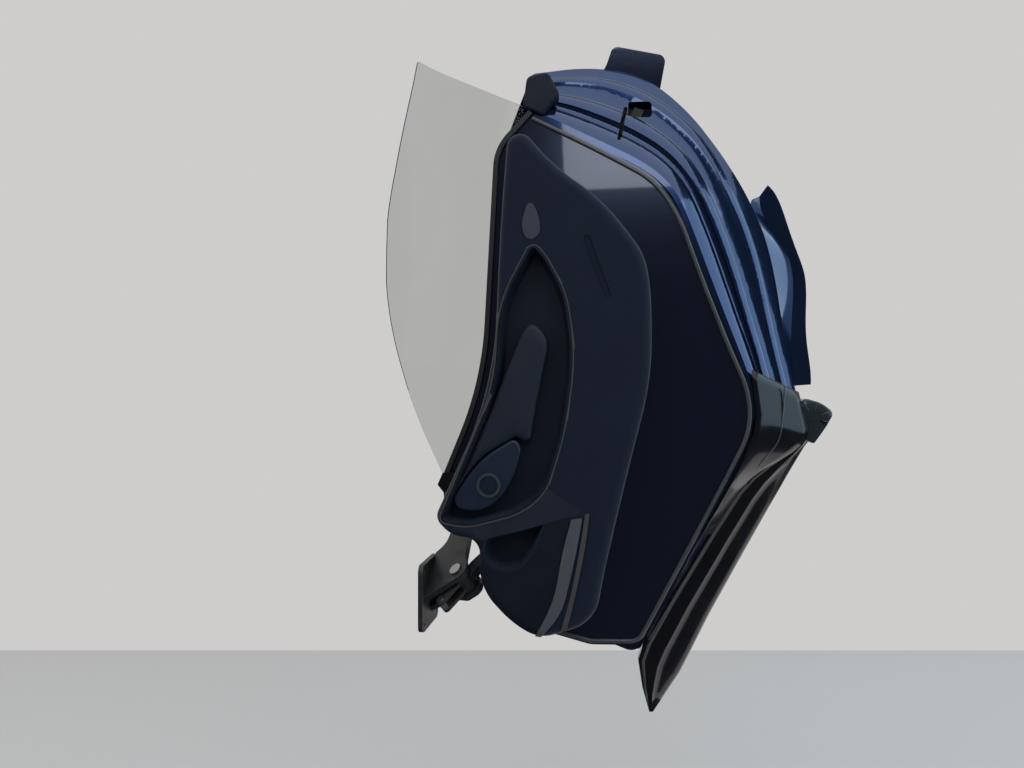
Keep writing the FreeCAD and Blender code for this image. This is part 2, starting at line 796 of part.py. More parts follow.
def hinge_bracket():
    """Foot plate with two cheeks; the upper cheek reaches forward to the strut."""
    inner = EYE_HALF_LENGTH + CHEEK_GAP
    outer = inner + CHEEK_THICKNESS
    turn = math.radians(STRUT_FOOT_ANGLE)
    stud_u = STRUT_FOOT_REACH * math.cos(turn)
    stud_v = STRUT_FOOT_REACH * math.sin(turn)
    at_strut = [(stud_u + u, stud_v + v, radius) for u, v, radius in CHEEK_AT_STRUT]
    upper = CHEEK_AT_HINGE + at_strut + CHEEK_AT_FOOT
    cheeks = hinge_plate(upper, inner, outer).fuse(hinge_plate(LOWER_CHEEK, -outer, -inner))
    foot_face = FOOT_THICKNESS - FOOT_INBOARD
    behind = Part.makeBox(BEYOND, 2 * BEYOND, 2 * BEYOND)
    behind.translate(Vector(foot_face - BEYOND, -BEYOND, -BEYOND))
    cheeks = cheeks.cut(behind)
    low_y = FOOT_FORWARD - FOOT_SIDE / 2
    low_z = -FOOT_DROP - FOOT_SIDE / 2
    square = [
        (low_y, low_z, FOOT_CORNER),
        (low_y + FOOT_SIDE, low_z, FOOT_CORNER),
        (low_y + FOOT_SIDE, low_z + FOOT_SIDE, FOOT_CORNER),
        (low_y, low_z + FOOT_SIDE, FOOT_CORNER),
    ]
    body = prism(square, -FOOT_INBOARD, foot_face).fuse(cheeks)
    bore = PIN_RADIUS + PIN_CLEARANCE
    body = body.cut(pin(ORIGIN, bore, -outer - 1.0, outer + 1.0))
    body = body.cut(pin(strut_foot(), STUD_RADIUS, inner - 1.0, outer + 1.0))
    for side_y in (-1, 1):
        for side_z in (-1, 1):
            place = (FOOT_FORWARD + side_y * BOLT_SPACING / 2, -FOOT_DROP + side_z * BOLT_SPACING / 2)
            body = body.cut(post(place, BOLT_HOLE_RADIUS, -FOOT_INBOARD - 1.0, foot_face + 1.0))
    return body


def hinge_pin():
    """Headed pin through the cheeks and the arm's eye."""
    end = EYE_HALF_LENGTH + CHEEK_GAP + CHEEK_THICKNESS
    shank = pin(ORIGIN, PIN_RADIUS, -end - PIN_HEAD_LENGTH, end)
    head = pin(ORIGIN, PIN_HEAD_RADIUS, end, end + PIN_HEAD_LENGTH)
    clip = pin(ORIGIN, PIN_CLIP_RADIUS, -end - PIN_CLIP_LENGTH, -end)
    return shank.fuse(head).fuse(clip)


def strut_foot_stud():
    """Stud that hangs from the upper cheek and carries the strut's fixed eye."""
    inner = EYE_HALF_LENGTH + CHEEK_GAP
    low = -STRUT_EYE_HALF - STUD_HEAD_LENGTH
    stud = pin(strut_foot(), STUD_RADIUS, low, inner + CHEEK_THICKNESS + STUD_HEAD_LENGTH)
    collar = pin(strut_foot(), STUD_HEAD_RADIUS, STRUT_EYE_HALF + SEAT, inner)
    head = pin(strut_foot(), STUD_HEAD_RADIUS, low, -STRUT_EYE_HALF - SEAT)
    return stud.fuse(collar).fuse(head)


def hinge_arm():
    """Goose-neck arm: eye on the pin, neck round the door's edge, pad on the panel."""
    eye = pin(ORIGIN, EYE_RADIUS, -EYE_HALF_LENGTH, EYE_HALF_LENGTH)
    arm = hinge_plate(ARM_NECK, -ARM_HALF_THICKNESS, ARM_HALF_THICKNESS).fuse(eye)
    flange_x = PANEL_X + PANEL_THICKNESS + SEAT
    seat_x = PLATEAU_X + PANEL_THICKNESS + SEAT
    inside = Part.makeBox(BEYOND, 2 * BEYOND, 2 * BEYOND)
    inside.translate(Vector(flange_x - BEYOND, ARM_REAR_OF_EDGE - 2 * BEYOND, -BEYOND))
    arm = arm.cut(inside)
    arm = arm.fuse(prism(ARM_PAD, seat_x, flange_x + ARM_PAD_THICKNESS))
    angle = math.radians(STRUT_FOOT_ANGLE + CRANK_LEAD)
    along_u = math.cos(angle)
    along_v = math.sin(angle)
    # Crank outline: reach along the crank, half width, radius
    crank_rows = [
        (0.0, CRANK_ROOT_HALF, 0.0),
        (0.0, -CRANK_ROOT_HALF, 0.0),
        (CRANK_REACH + CRANK_END_HALF, -CRANK_END_HALF, CRANK_END_ROUND),
        (CRANK_REACH + CRANK_END_HALF, CRANK_END_HALF, CRANK_END_ROUND),
    ]
    crank = [(reach * along_u - half * along_v, reach * along_v + half * along_u, r) for reach, half, r in crank_rows]
    near = STRUT_EYE_HALF + FORK_GAP
    for low, high in ((near, near + FORK_PLATE), (-near - FORK_PLATE, -near)):
        arm = arm.fuse(hinge_plate(crank, low, high))
    arm = arm.cut(pin(ORIGIN, PIN_RADIUS + PIN_CLEARANCE, -EYE_HALF_LENGTH - 1.0, EYE_HALF_LENGTH + 1.0))
    return arm.cut(pin(crank_end(0.0), STUD_RADIUS, -EYE_HALF_LENGTH, EYE_HALF_LENGTH))


def crank_stud():
    """Stud across the arm's fork for the strut's rod."""
    end = STRUT_EYE_HALF + FORK_GAP + FORK_PLATE
    stud = pin(crank_end(0.0), STUD_RADIUS, -end, end)
    head = pin(crank_end(0.0), STUD_HEAD_RADIUS, end, end + STUD_HEAD_LENGTH)
    return stud.fuse(head)


def strut_line():
    """The strut's foot and its direction and length with the door open."""
    foot = strut_foot()
    span = crank_end(DOOR_OPENING) - foot
    return foot, Vector(span).normalize(), span.Length


def strut_cylinder():
    """Tube of the gas strut with its fixed eye and a gland round the rod."""
    foot, direction, length = strut_line()
    tube = Part.makeCylinder(TUBE_RADIUS, TUBE_LENGTH, foot + direction * TUBE_START, direction)
    neck = Part.makeCylinder(TUBE_NECK_RADIUS, TUBE_START, foot, direction)
    eye = pin(foot, STRUT_EYE_RADIUS, -STRUT_EYE_HALF, STRUT_EYE_HALF)
    body = tube.fuse(neck).fuse(eye)
    body = body.cut(pin(foot, STUD_RADIUS + PIN_CLEARANCE, -STRUT_EYE_HALF - 1.0, STRUT_EYE_HALF + 1.0))
    bore_length = TUBE_LENGTH - TUBE_END_WALL - GLAND_LENGTH
    bore_start = foot + direction * (TUBE_START + TUBE_END_WALL)
    body = body.cut(Part.makeCylinder(TUBE_BORE, bore_length, bore_start, direction))
    mouth = foot + direction * (TUBE_START + TUBE_LENGTH - GLAND_LENGTH - 1.0)
    return body.cut(Part.makeCylinder(ROD_RADIUS + ROD_CLEARANCE, GLAND_LENGTH + 2.0, mouth, direction))


def strut_rod():
    """Rod of the gas strut with its eye at the crank."""
    foot, direction, length = strut_line()
    start = TUBE_START + TUBE_LENGTH - ROD_INSIDE
    rod = Part.makeCylinder(ROD_RADIUS, length - start, foot + direction * start, direction)
    end = foot + direction * length
    eye = pin(end, STRUT_EYE_RADIUS, -STRUT_EYE_HALF, STRUT_EYE_HALF)
    bore = pin(end, STUD_RADIUS + ROD_EYE_CLEARANCE, -STRUT_EYE_HALF - 1.0, STRUT_EYE_HALF + 1.0)
    return rod.fuse(eye).cut(bore)


def panel_outline():
    """Closed outline of the inner panel."""
    return PANEL_LOWER + BELT[1:-1]


def inner_panel():
    """Pressed inner panel with a raised, hollow field under the card."""
    top = inset(FIELD_OUTLINE, PLATEAU_SLOPE)
    flange = PANEL_X + PANEL_THICKNESS
    panel = prism(panel_outline(), PANEL_X, flange)
    panel = panel.fuse(loft_between(FIELD_OUTLINE, flange, top, PLATEAU_X))
    hollow = loft_between(
        inset(FIELD_OUTLINE, PANEL_THICKNESS), flange, inset(top, PANEL_THICKNESS), PLATEAU_X + PANEL_THICKNESS
    )
    return panel.cut(hollow)


def bend(start, middle, end):
    """Edge through three points: an arc, or a line where they lie in one."""
    chord = end - start
    if (middle - start).cross(chord).Length < 0.01 * chord.Length:
        return Part.LineSegment(start, end).toShape()
    return Part.Arc(start, middle, end).toShape()


def jamb_wire(row, front, back):
    """One closed section of a slab between two depths behind the jamb's face."""
    seal_y, seal_z, edge_y, edge_z, depth_share, profile, back_shift = row
    width = math.hypot(edge_y - seal_y, edge_z - seal_z)
    out_y = (edge_y - seal_y) / width
    out_z = (edge_z - seal_z) / width

    def place(share, depth, offset):
        along = share * width - offset / JAMB_THICKNESS * back_shift
        x = PANEL_X + PANEL_THICKNESS + SEAT + depth * depth_share + offset
        return Vector(x, seal_y + out_y * along, seal_z + out_z * along)

    near = []
    far = []
    from_share = 0.0
    from_depth = 0.0
    for mid_share, mid_depth, end_share, end_depth in profile:
        rows = ((from_share, from_depth), (mid_share, mid_depth), (end_share, end_depth))
        near.append(bend(*[place(share, depth, front) for share, depth in rows]))
        far.append(bend(*[place(share, depth, back) for share, depth in rows[::-1]]))
        from_share = end_share
        from_depth = end_depth
    outer_side = Part.LineSegment(place(from_share, from_depth, front), place(from_share, from_depth, back))
    inner_side = Part.LineSegment(place(0.0, 0.0, back), place(0.0, 0.0, front))
    return Part.Wire(near + [outer_side.toShape()] + far[::-1] + [inner_side.toShape()])


def jamb_slab(rows, front, back, straight):
    """Slab through the jamb's sections, between two depths behind its face."""
    return Part.makeLoft([jamb_wire(row, front, back) for row in rows], True, straight)


def rear_jamb():
    """Ridged wall from the seal out to the door's edge, round the rear and the sill."""
    jamb = jamb_slab(JAMB_REAR, 0.0, JAMB_THICKNESS, False)
    jamb = jamb.fuse(jamb_slab(JAMB_SILL, 0.0, JAMB_THICKNESS, True))
    first = len(SKIN_BELT)
    hem_path = open_ends(inset(SKIN_OUTLINE, JAMB_MARGIN)[first:first + len(SKIN_EDGE)])
    hem = prism(band(hem_path, HEM_WALL), HEM_X, HEM_REACH)
    hem = hem.cut(skin_loft(SKIN_THICKNESS + SEAT, BEYOND))
    jamb = jamb.fuse(max(hem.Solids, key=lambda piece: -piece.CenterOfMass.x))
    jamb = jamb.common(prism(inset(SKIN_OUTLINE, JAMB_MARGIN), -BEYOND, BEYOND))
    jamb = jamb.cut(prism(slot(SLIT_ENDS, SLIT_RADIUS), PANEL_X, LATCH_X + SEAT))
    jamb = jamb.cut(prism(LATCH_WINDOW, PANEL_X, LATCH_X + SEAT))
    return largest(jamb)


def skin_loft(inward, outward):
    """Slab between two depths measured from the skin's outer face."""
    wires = []
    for y, foot, tuck, shoulder, waist, belt in SKIN_SECTIONS:
        face = [Vector(x + outward, y, z) for x, z in (foot, tuck, shoulder, waist, belt)]
        back = [Vector(x - inward, y, z) for x, z in (foot, tuck, shoulder, waist, belt)]
        edges = [
            Part.Arc(face[0], face[1], face[2]).toShape(),
            Part.Arc(face[2], face[3], face[4]).toShape(),
            Part.LineSegment(face[4], back[4]).toShape(),
            Part.Arc(back[4], back[3], back[2]).toShape(),
            Part.Arc(back[2], back[1], back[0]).toShape(),
            Part.LineSegment(back[0], face[0]).toShape(),
        ]
        wires.append(Part.Wire(edges))
    return Part.makeLoft(wires, True, False)


def outer_skin():
    """Outer panel: arcs over the tuck and the shoulder, trimmed to the door's edge."""
    return skin_loft(SKIN_THICKNESS, 0.0).common(prism(SKIN_OUTLINE, 0.0, SKIN_REACH))


def outside_skin(solid):
    """The part of a blade that stands outside the skin, seated on it."""
    return largest(solid.cut(skin_loft(HEM_REACH, SEAT)))


def tendon():
    """Outer blade that leaves the skin and runs past the door's rear edge."""
    wires = []
    side = Vector(TENDON_THICKNESS, 0, 0)
    for y, low_x, low_z, high_x, high_z in TENDON_SECTIONS:
        low = Vector(low_x, y, low_z)
        high = Vector(high_x, y, high_z)
        wires.append(Part.makePolygon([low, high, high + side, low + side, low]))
    strip = Part.makeLoft(wires, True, False).common(prism(TENDON_TRIM, 0.0, SKIN_REACH))
    return outside_skin(strip)


def scoop_end(row):
    """The two flat faces that close one end of the scoop blade."""
    side = Vector(SCOOP_THICKNESS, 0, 0)
    faces = []
    for near, far in zip(row[:-1], row[1:]):
        near = Vector(*near)
        far = Vector(*far)
        faces.append(Part.Face(Part.makePolygon([near, far, far + side, near + side, near])))
    return faces


def scoop_lip():
    """Blade of the air scoop: out from the skin to a valley, then down to a lip."""
    side = Vector(SCOOP_THICKNESS, 0, 0)
    wires = []
    for row in SCOOP_SECTIONS:
        inner = [Vector(*point) for point in row]
        outer = [point + side for point in reversed(inner)]
        wires.append(Part.makePolygon(inner + outer + inner[:1]))
    faces = Part.makeLoft(wires, False, False).Faces
    shell = Part.makeShell(faces + scoop_end(SCOOP_SECTIONS[0]) + scoop_end(SCOOP_SECTIONS[-1]))
    shell.sewShape()
    blade = Part.Solid(Part.Shell(shell.Faces))
    if blade.Volume < 0:
        blade.reverse()
    return outside_skin(blade)


def sill_wire(y, top, bottom, wide):
    """One section of the sill blade."""
    points = [
        Vector(SILL_MIDDLE_X + (x - SILL_MIDDLE_X) * wide, y, top + (bottom - top) * share)
        for x, share in SILL_PROFILE
    ]
    return Part.makePolygon(points + points[:1])


def sill_blade():
    """Long ridged blade along the door's foot, drawn out to a point at the front."""
    wires = [sill_wire(*row) for row in SILL_STATIONS]
    blade = Part.makeLoft(wires, True, False)
    blade = blade.fuse(Part.makeLoft([wires[-1], sill_wire(*SILL_TIP)], True, True))
    return largest(blade.cut(prism(inset(SKIN_OUTLINE, -SEAM), 0.0, SKIN_REACH)))


def sill_end_cap():
    """Rounded cap on the rear end of the sill blade."""
    near, far = SILL_CAP_DEPTHS
    return prism(SILL_CAP, near, far)


def door_seal():
    """Rounded seal bead round the rear, the foot and the front of the opening."""
    path = open_ends(inset(panel_outline(), SEAL_INSET)[: len(PANEL_LOWER)])
    top = PANEL_X - SEAT - SEAL_HEIGHT
    return round_face(prism(band(path, SEAL_WIDTH), PANEL_X - SEAT, top), top, SEAL_ROUND)


def belt_seal(depths):
    """Strip along the belt, between two depths."""
    near, far = depths
    return prism(band(BELT, -BELT_SEAL_HEIGHT), near, far)


def corner_cover():
    """Black cover over the glass's foot at the rear end of the belt."""
    near, far = CORNER_DEPTHS
    block = round_face(prism(CORNER_OUTLINE, far, near), near, CORNER_ROUND)
    back = Part.Face(Part.makePolygon([Vector(x, y, -BEYOND) for x, y in CORNER_BACK + CORNER_BACK[:1]]))
    block = block.cut(back.extrude(Vector(0, 0, 3 * BEYOND)))
    return largest(block.cut(prism(inset(GLASS_OUTLINE, -SEAM), PANEL_X - SEAT, far + 1.0)))


def front_belt_wedge():
    """Black wedge that closes the front end of the belt."""
    near, far = WEDGE_DEPTHS
    return prism(WEDGE_OUTLINE, near, far)


def window_glass():
    """Curved side glass, leaning inward above the belt."""
    wires = []
    bulge_x, bulge_z = GLASS_BULGE
    for y, belt, height, lean in GLASS_SECTIONS:
        foot = Vector(GLASS_FOOT_X, y, belt - GLASS_FOOT_DEPTH)
        middle = Vector(GLASS_FOOT_X - lean * bulge_x, y, belt + height * bulge_z)
        top = Vector(GLASS_FOOT_X - lean, y, belt + height)
        face = [foot, middle, top]
        back = [point - Vector(GLASS_THICKNESS, 0, 0) for point in face]
        edges = [
            Part.Arc(face[0], face[1], face[2]).toShape(),
            Part.LineSegment(face[2], back[2]).toShape(),
            Part.Arc(back[2], back[1], back[0]).toShape(),
            Part.LineSegment(back[0], face[0]).toShape(),
        ]
        wires.append(Part.Wire(edges))
    blank = Part.makeLoft(wires, True, False)
    return blank.common(prism(GLASS_OUTLINE, -BEYOND, BEYOND))


def card_form(grow, back):
    """The card as a solid block with its rounded front, grown on every side."""
    face = CARD_FACE - grow
    return round_face(prism(inset(CARD_OUTLINE, -grow), back, face), face, CARD_ROUND + grow)


def card_shell():
    """The whole card as a shell with a rounded edge, open at the back."""
    back = PLATEAU_X - SEAT
    return card_form(0.0, back).cut(card_form(-CARD_WALL, back + 1.0))


def door_card():
    """Moulded trim card: a shell with the recess, the band and the kick card cut out."""
    past = CARD_FACE - CARD_WALL
    shell = card_shell().cut(prism(inset(OVAL_OUTLINE, -SEAT), PANEL_X, past))
    shell = shell.cut(prism(inset(BAND_OUTLINE, -SEAM / 2), CARD_FACE + BAND_DEPTH + SEAM, past))
    shell = shell.cut(prism(inset(KICK_REGION, -SEAM / 2), PANEL_X, past))
    shell = shell.cut(prism(slot(GROOVE_ENDS, GROOVE_RADIUS), CARD_FACE + GROOVE_DEPTH, past))
    shell = shell.cut(prism(inset(TEARDROP_OUTLINE, -SEAT), CARD_FACE + TEARDROP_SINK, past))
    return largest(shell)


def card_bowl():
    """Pan of the oval recess."""
    bowl = tray(OVAL_OUTLINE, CARD_FACE, PLATEAU_X - SEAT)
    return largest(bowl.common(card_form(0.0, PLATEAU_X)))


def bowl_space():
    """Space that a piece in the oval recess may fill."""
    return tray_hollow(OVAL_OUTLINE, CARD_FACE, PLATEAU_X - SEAT, SEAT)


def armrest_pad():
    """Padded armrest on the floor of the recess."""
    floor = PLATEAU_X - SEAT - CARD_WALL
    pad = round_face(prism(PAD_OUTLINE, floor - SEAT, PAD_FACE), PAD_FACE, PAD_ROUND)
    pad = pad.common(bowl_space())
    return largest(pad.cut(prism(inset(POD_OUTLINE, -SEAT), PANEL_X, CARD_FACE)))


def speaker_pod():
    """Pod at the front of the recess, with a round well for the grille."""
    floor = PLATEAU_X - SEAT - CARD_WALL
    pod = round_face(prism(POD_OUTLINE, floor - SEAT, POD_FACE), POD_FACE, POD_ROUND)
    pod = pod.common(bowl_space())
    return largest(pod.cut(post(GRILLE_PLACE, GRILLE_RADIUS + SEAT, CARD_FACE, WELL_FLOOR)))


def speaker_grille():
    """Round grille with a raised rim."""
    disc = post(GRILLE_PLACE, GRILLE_RADIUS, GRILLE_FACE, WELL_FLOOR - SEAT)
    rim = post(GRILLE_PLACE, GRILLE_RADIUS, GRILLE_RIM_FACE, GRILLE_FACE)
    rim = rim.cut(post(GRILLE_PLACE, GRILLE_RADIUS - GRILLE_RING, GRILLE_RIM_FACE - 1.0, GRILLE_FACE + 1.0))
    return disc.fuse(rim)


def pull_bridge():
    """Pull band, flush with the card and open behind for the fingers."""
    block = card_form(0.0, PLATEAU_X)
    block = block.common(prism(inset(BAND_OUTLINE, SEAM / 2), CARD_FACE + BAND_DEPTH, -BEYOND))
    return largest(block.cut(prism(inset(OVAL_OUTLINE, -SEAM), PANEL_X, -BEYOND)))


def pocket_liner():
    """Pan of the map pocket, lower where it runs behind the band."""
    pan = tray(POCKET_OUTLINE, CARD_FACE, PLATEAU_X - SEAT)
    pan = pan.cut(prism(inset(BAND_OUTLINE, -SEAM), CARD_FACE + BAND_DEPTH + SEAM, -BEYOND))
    return largest(pan)


def lower_card():
    """Kick card below the band, open at the pocket."""
    card = card_shell().common(prism(inset(KICK_REGION, SEAM / 2), PANEL_X, -BEYOND))
    card = card.cut(prism(inset(BAND_OUTLINE, -SEAM / 2), PANEL_X, -BEYOND))
    return largest(card.cut(prism(inset(POCKET_OUTLINE, -SEAT), PANEL_X, -BEYOND)))


def strip(corners):
    """Thin strip that follows the card's face and its rounded edge."""
    layer = card_form(SEAT + STRIP_THICKNESS, PLATEAU_X - SEAT).cut(card_form(SEAT, PANEL_X))
    return largest(layer.common(prism(corners, CARD_FACE + CARD_ROUND, -BEYOND)))


def release_inset():
    """Teardrop button set into the card."""
    return prism(TEARDROP_OUTLINE, CARD_FACE + TEARDROP_SINK - SEAT, CARD_FACE - 1.0)


def latch_box(y_from, y_to, half_height, x_from, x_to):
    """Block at the latch, centred on it in height."""
    box = Part.makeBox(x_to - x_from, y_to - y_from, 2 * half_height)
    box.translate(Vector(x_from, y_from, LATCH_PLACE[1] - half_height))
    return box


def latch_case():
    """Latch body behind the jamb, with the slot for the striker."""
    length, height, depth = LATCH_SIZE
    low_y = LATCH_PLACE[0] - length / 2
    case = latch_box(low_y, low_y + length, height / 2, LATCH_X, LATCH_X + depth)
    mouth_y = low_y + length * LATCH_SLOT_SHARE
    mouth_x = LATCH_X + depth * LATCH_SLOT_SHARE
    mouth = latch_box(low_y - 1.0, mouth_y, LATCH_SLOT / 2, LATCH_X - 1.0, mouth_x)
    return case.cut(mouth)


def latch_claw():
    """Claw that closes round the striker."""
    near, far = CLAW_DEPTHS
    start = LATCH_PLACE[0] - CLAW_LENGTH / 2
    claw = latch_box(start, start + CLAW_LENGTH, LATCH_SLOT / 2 - SEAT, near, far)
    jaw = latch_box(start - 1.0, start + CLAW_LENGTH * CLAW_JAW_SHARE, CLAW_JAW, near - 1.0, far + 1.0)
    return claw.cut(jaw)


# Every piece: name, its shape and how it is set
PIECES = [
    ("hinge_bracket", hinge_bracket, standing),
    ("hinge_pin", hinge_pin, standing),
    ("strut_foot_stud", strut_foot_stud, standing),
    ("strut_cylinder", strut_cylinder, standing),
    ("strut_rod", strut_rod, standing),
    ("hinge_arm", hinge_arm, opened),
    ("crank_stud", crank_stud, opened),
    ("inner_panel", inner_panel, opened),
    ("rear_jamb", rear_jamb, opened),
    ("outer_skin", outer_skin, opened),
    ("tendon", tendon, opened),
    ("scoop_lip", scoop_lip, opened),
    ("sill_blade", sill_blade, opened),
    ("sill_end_cap", sill_end_cap, opened),
    ("door_seal", door_seal, opened),
    ("belt_seal_inner", lambda: belt_seal(INNER_BELT_SEAL), opened),
    ("belt_seal_outer", lambda: belt_seal(OUTER_BELT_SEAL), opened),
    ("corner_cover", corner_cover, opened),
    ("front_belt_wedge", front_belt_wedge, opened),
    ("window_glass", window_glass, opened),
    ("door_card", door_card, opened),
    ("card_bowl", card_bowl, opened),
    ("armrest_pad", armrest_pad, opened),
    ("speaker_pod", speaker_pod, opened),
    ("speaker_grille", speaker_grille, opened),
    ("pull_bridge", pull_bridge, opened),
    ("pocket_liner", pocket_liner, opened),
    ("lower_card", lower_card, opened),
    ("metal_strip", lambda: strip(STRIP_OUTLINE), opened),
    ("edge_strip", lambda: strip(EDGE_STRIP_OUTLINE), opened),
    ("release_inset", release_inset, opened),
    ("latch_case", latch_case, opened),
    ("latch_claw", latch_claw, opened),
]

os.makedirs("parts", exist_ok=True)
for name, make, place in PIECES:
    solid = place(make())
    box = solid.BoundBox
    print(name, len(solid.Solids), solid.isValid(), round(solid.Volume / 1000.0, 1),
          "x %.0f %.0f y %.0f %.0f z %.0f %.0f" % (box.XMin, box.XMax, box.YMin, box.YMax, box.ZMin, box.ZMax))
    solid.exportStep("parts/" + name + ".step")
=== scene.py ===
import bpy
import bmesh
import json
import math
from mathutils import Matrix, Vector
from mathutils.geometry import delaunay_2d_cdt


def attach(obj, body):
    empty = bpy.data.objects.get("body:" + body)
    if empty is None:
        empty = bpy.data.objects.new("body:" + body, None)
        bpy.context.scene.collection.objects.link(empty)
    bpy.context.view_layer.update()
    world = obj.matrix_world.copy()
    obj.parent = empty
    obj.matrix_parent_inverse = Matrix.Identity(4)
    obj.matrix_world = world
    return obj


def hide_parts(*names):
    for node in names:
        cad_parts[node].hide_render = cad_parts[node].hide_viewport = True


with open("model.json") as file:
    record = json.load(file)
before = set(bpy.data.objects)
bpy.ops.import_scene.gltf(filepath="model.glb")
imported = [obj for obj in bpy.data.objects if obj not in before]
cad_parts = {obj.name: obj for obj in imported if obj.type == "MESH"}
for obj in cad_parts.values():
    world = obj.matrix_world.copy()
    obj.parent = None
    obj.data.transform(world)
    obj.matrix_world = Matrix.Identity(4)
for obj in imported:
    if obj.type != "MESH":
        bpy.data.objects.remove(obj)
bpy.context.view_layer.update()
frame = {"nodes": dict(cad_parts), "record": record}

# The door is laid out as it is when shut: x outboard, y forward, z up, in millimetres from
# the hinge. raised() turns a point about the leaning hinge to where the open door holds it.
HINGE_LEAN = 33.0
DOOR_OPENING = 107.0
HINGE_PLACE = Vector((90.0, -26.0, 34.0))
MM = 0.001

LEAN_TANGENT = math.tan(math.radians(HINGE_LEAN))
HINGE_AXIS = Vector((-LEAN_TANGENT, -LEAN_TANGENT, 1.0)).normalized()
SWING = Matrix.Rotation(math.radians(DOOR_OPENING), 3, HINGE_AXIS)

# A corner marked SMOOTH takes the largest round, which uses this share of its shorter side
SMOOTH = 9999.0
ROUND_SHARE = 0.49

# Oval recess in the card: y, z, radius
OVAL_OUTLINE = [
    (-100.0, 95.0, 12.0),
    (-402.0, 101.0, SMOOTH),
    (-555.0, 163.0, SMOOTH),
    (-699.0, 152.0, SMOOTH),
    (-684.0, 115.0, SMOOTH),
    (-630.0, 44.0, SMOOTH),
    (-523.0, -22.0, SMOOTH),
    (-378.0, -66.0, SMOOTH),
    (-248.0, -82.0, SMOOTH),
    (-185.0, -50.0, SMOOTH),
    (-113.0, 38.0, SMOOTH),
]
OVAL_ARC_STEP = 5.0
RECESS_FLOOR = -13.8
CARD_FACE = -50.0

# Armrest cushion: y, z, radius. Heights stand on the recess floor.
CUSHION_OUTLINE = [
    (-552.0, 88.0, SMOOTH),
    (-534.0, 40.0, SMOOTH),
    (-400.0, 11.0, SMOOTH),
    (-322.0, -11.0, 14.0),
    (-326.0, 20.0, 6.0),
    (-264.0, 67.0, SMOOTH),
    (-208.0, 82.5, 60.0),
    (-150.0, 90.0, 2.0),
    (-290.0, 88.0, SMOOTH),
    (-520.0, 96.0, SMOOTH),
]
CUSHION_ARC_STEP = 4.0
CUSHION_STEP = 5.0
# The cover's points: rows beside its edge, by their distance from it, then an even field
CUSHION_MARGINS = (1.2, 3.2, 6.5, 11.0)
CUSHION_FIELD = 9.0
# How near the edge a point may come, as shares of a row's distance and of the field's spacing
ROW_SHARE = 0.97
FIELD_SHARE = 0.6
# The cover's height at its edge, the rise beside it and how soon that ends, and the slow swell
CUSHION_EDGE = 24.0
CUSHION_CROWN = 6.5
CUSHION_SOFTNESS = 3.5
CUSHION_SWELL = 1.8
CUSHION_SWELL_REACH = 40.0
# Rows of the sides: height, and how far they are drawn in
CUSHION_SIDES = ((14.0, 0.0), (5.0, 0.0), (1.0, 1.0))

# Stitches round the recess: share of the length, rise and width in threads
STITCH_ROWS = [
    (0.0, -0.6, 0.5),
    (0.18, 0.35, 1.0),
    (0.5, 0.7, 1.1),
    (0.82, 0.35, 1.0),
    (1.0, -0.6, 0.5),
]
STITCH_PITCH = 5.2
STITCH_GAP = 0.5
STITCH_OUT = 1.8
THREAD = 0.9 * MM

# Piping on the recess rim, and the speaker's pierced plate
PIPING_STEP = 6.0
PIPING_OUT = 0.6
PIPING_RADIUS = 1.0
GRILLE_PLACE = Vector((-211.0, 31.0))
GRILLE_RADIUS = 18.7
GRILLE_PITCH = 2.3
GRILLE_HOLE = 0.8
GRILLE_FACE = -43.4
GRILLE_DEPTH = 0.8
GRILLE_WELD = 0.01 * MM

# Blade along the sill: y, top z, bottom z, share of its width
BLADE_STATIONS = [
    (-580.0, -504.0, -540.0, 1.0),
    (-566.0, -510.5, -536.5, 1.0),
    (-545.0, -508.0, -531.0, 1.0),
    (-525.0, -499.5, -529.0, 1.0),
    (-480.0, -470.0, -525.0, 1.0),
    (-440.0, -448.0, -522.0, 1.0),
    (-400.0, -435.2, -518.5, 1.0),
    (-300.0, -421.2, -511.0, 1.0),
    (-134.0, -402.3, -500.0, 1.0),
    (-30.0, -394.0, -497.5, 1.0),
    (8.0, -398.0, -496.0, 0.97),
    (60.0, -431.0, -486.5, 0.65),
    (106.0, -468.0, -478.0, 0.3),
]
# Its section: x, share of the height from the top; bead, hollow band, rounded lip, back
BLADE_SECTION = [
    (60.0, 0.0),
    (57.5, 0.03),
    (56.6, 0.06),
    (58.0, 0.095),
    (63.0, 0.12),
    (67.5, 0.17),
    (69.5, 0.30),
    (72.0, 0.44),
    (77.0, 0.50),
    (84.0, 0.60),
    (91.0, 0.76),
    (99.0, 0.91),
    (107.0, 0.985),
    (115.0, 1.0),
    (121.5, 0.965),
    (124.0, 0.89),
    (121.0, 0.76),
    (112.0, 0.45),
    (102.0, 0.17),
    (96.0, 0.03),
    (92.0, 0.0),
]
BLADE_MIDDLE = 92.0
BLADE_STEPS = 3

# Fin on the blade's rear end: y, z, radius
FIN_OUTLINE = [
    (-556.0, -514.0, 4.0),
    (-588.0, -490.5, SMOOTH),
    (-612.0, -474.5, 9.0),
    (-634.0, -479.0, 14.0),
    (-639.0, -516.0, SMOOTH),
    (-630.0, -545.0, 12.0),
    (-592.0, -542.0, SMOOTH),
    (-556.0, -535.0, 4.0),
]
# Rows through its thickness: inset, x
FIN_ROWS = [(2.6, 57.5), (0.9, 58.4), (0.0, 61.0), (0.0, 112.0), (0.9, 115.0), (2.6, 117.0)]
FIN_ARC_STEP = 2.0
FIN_STEP = 3.0
FIN_CROWN = 1.5
FIN_CROWN_SHARE = 0.45

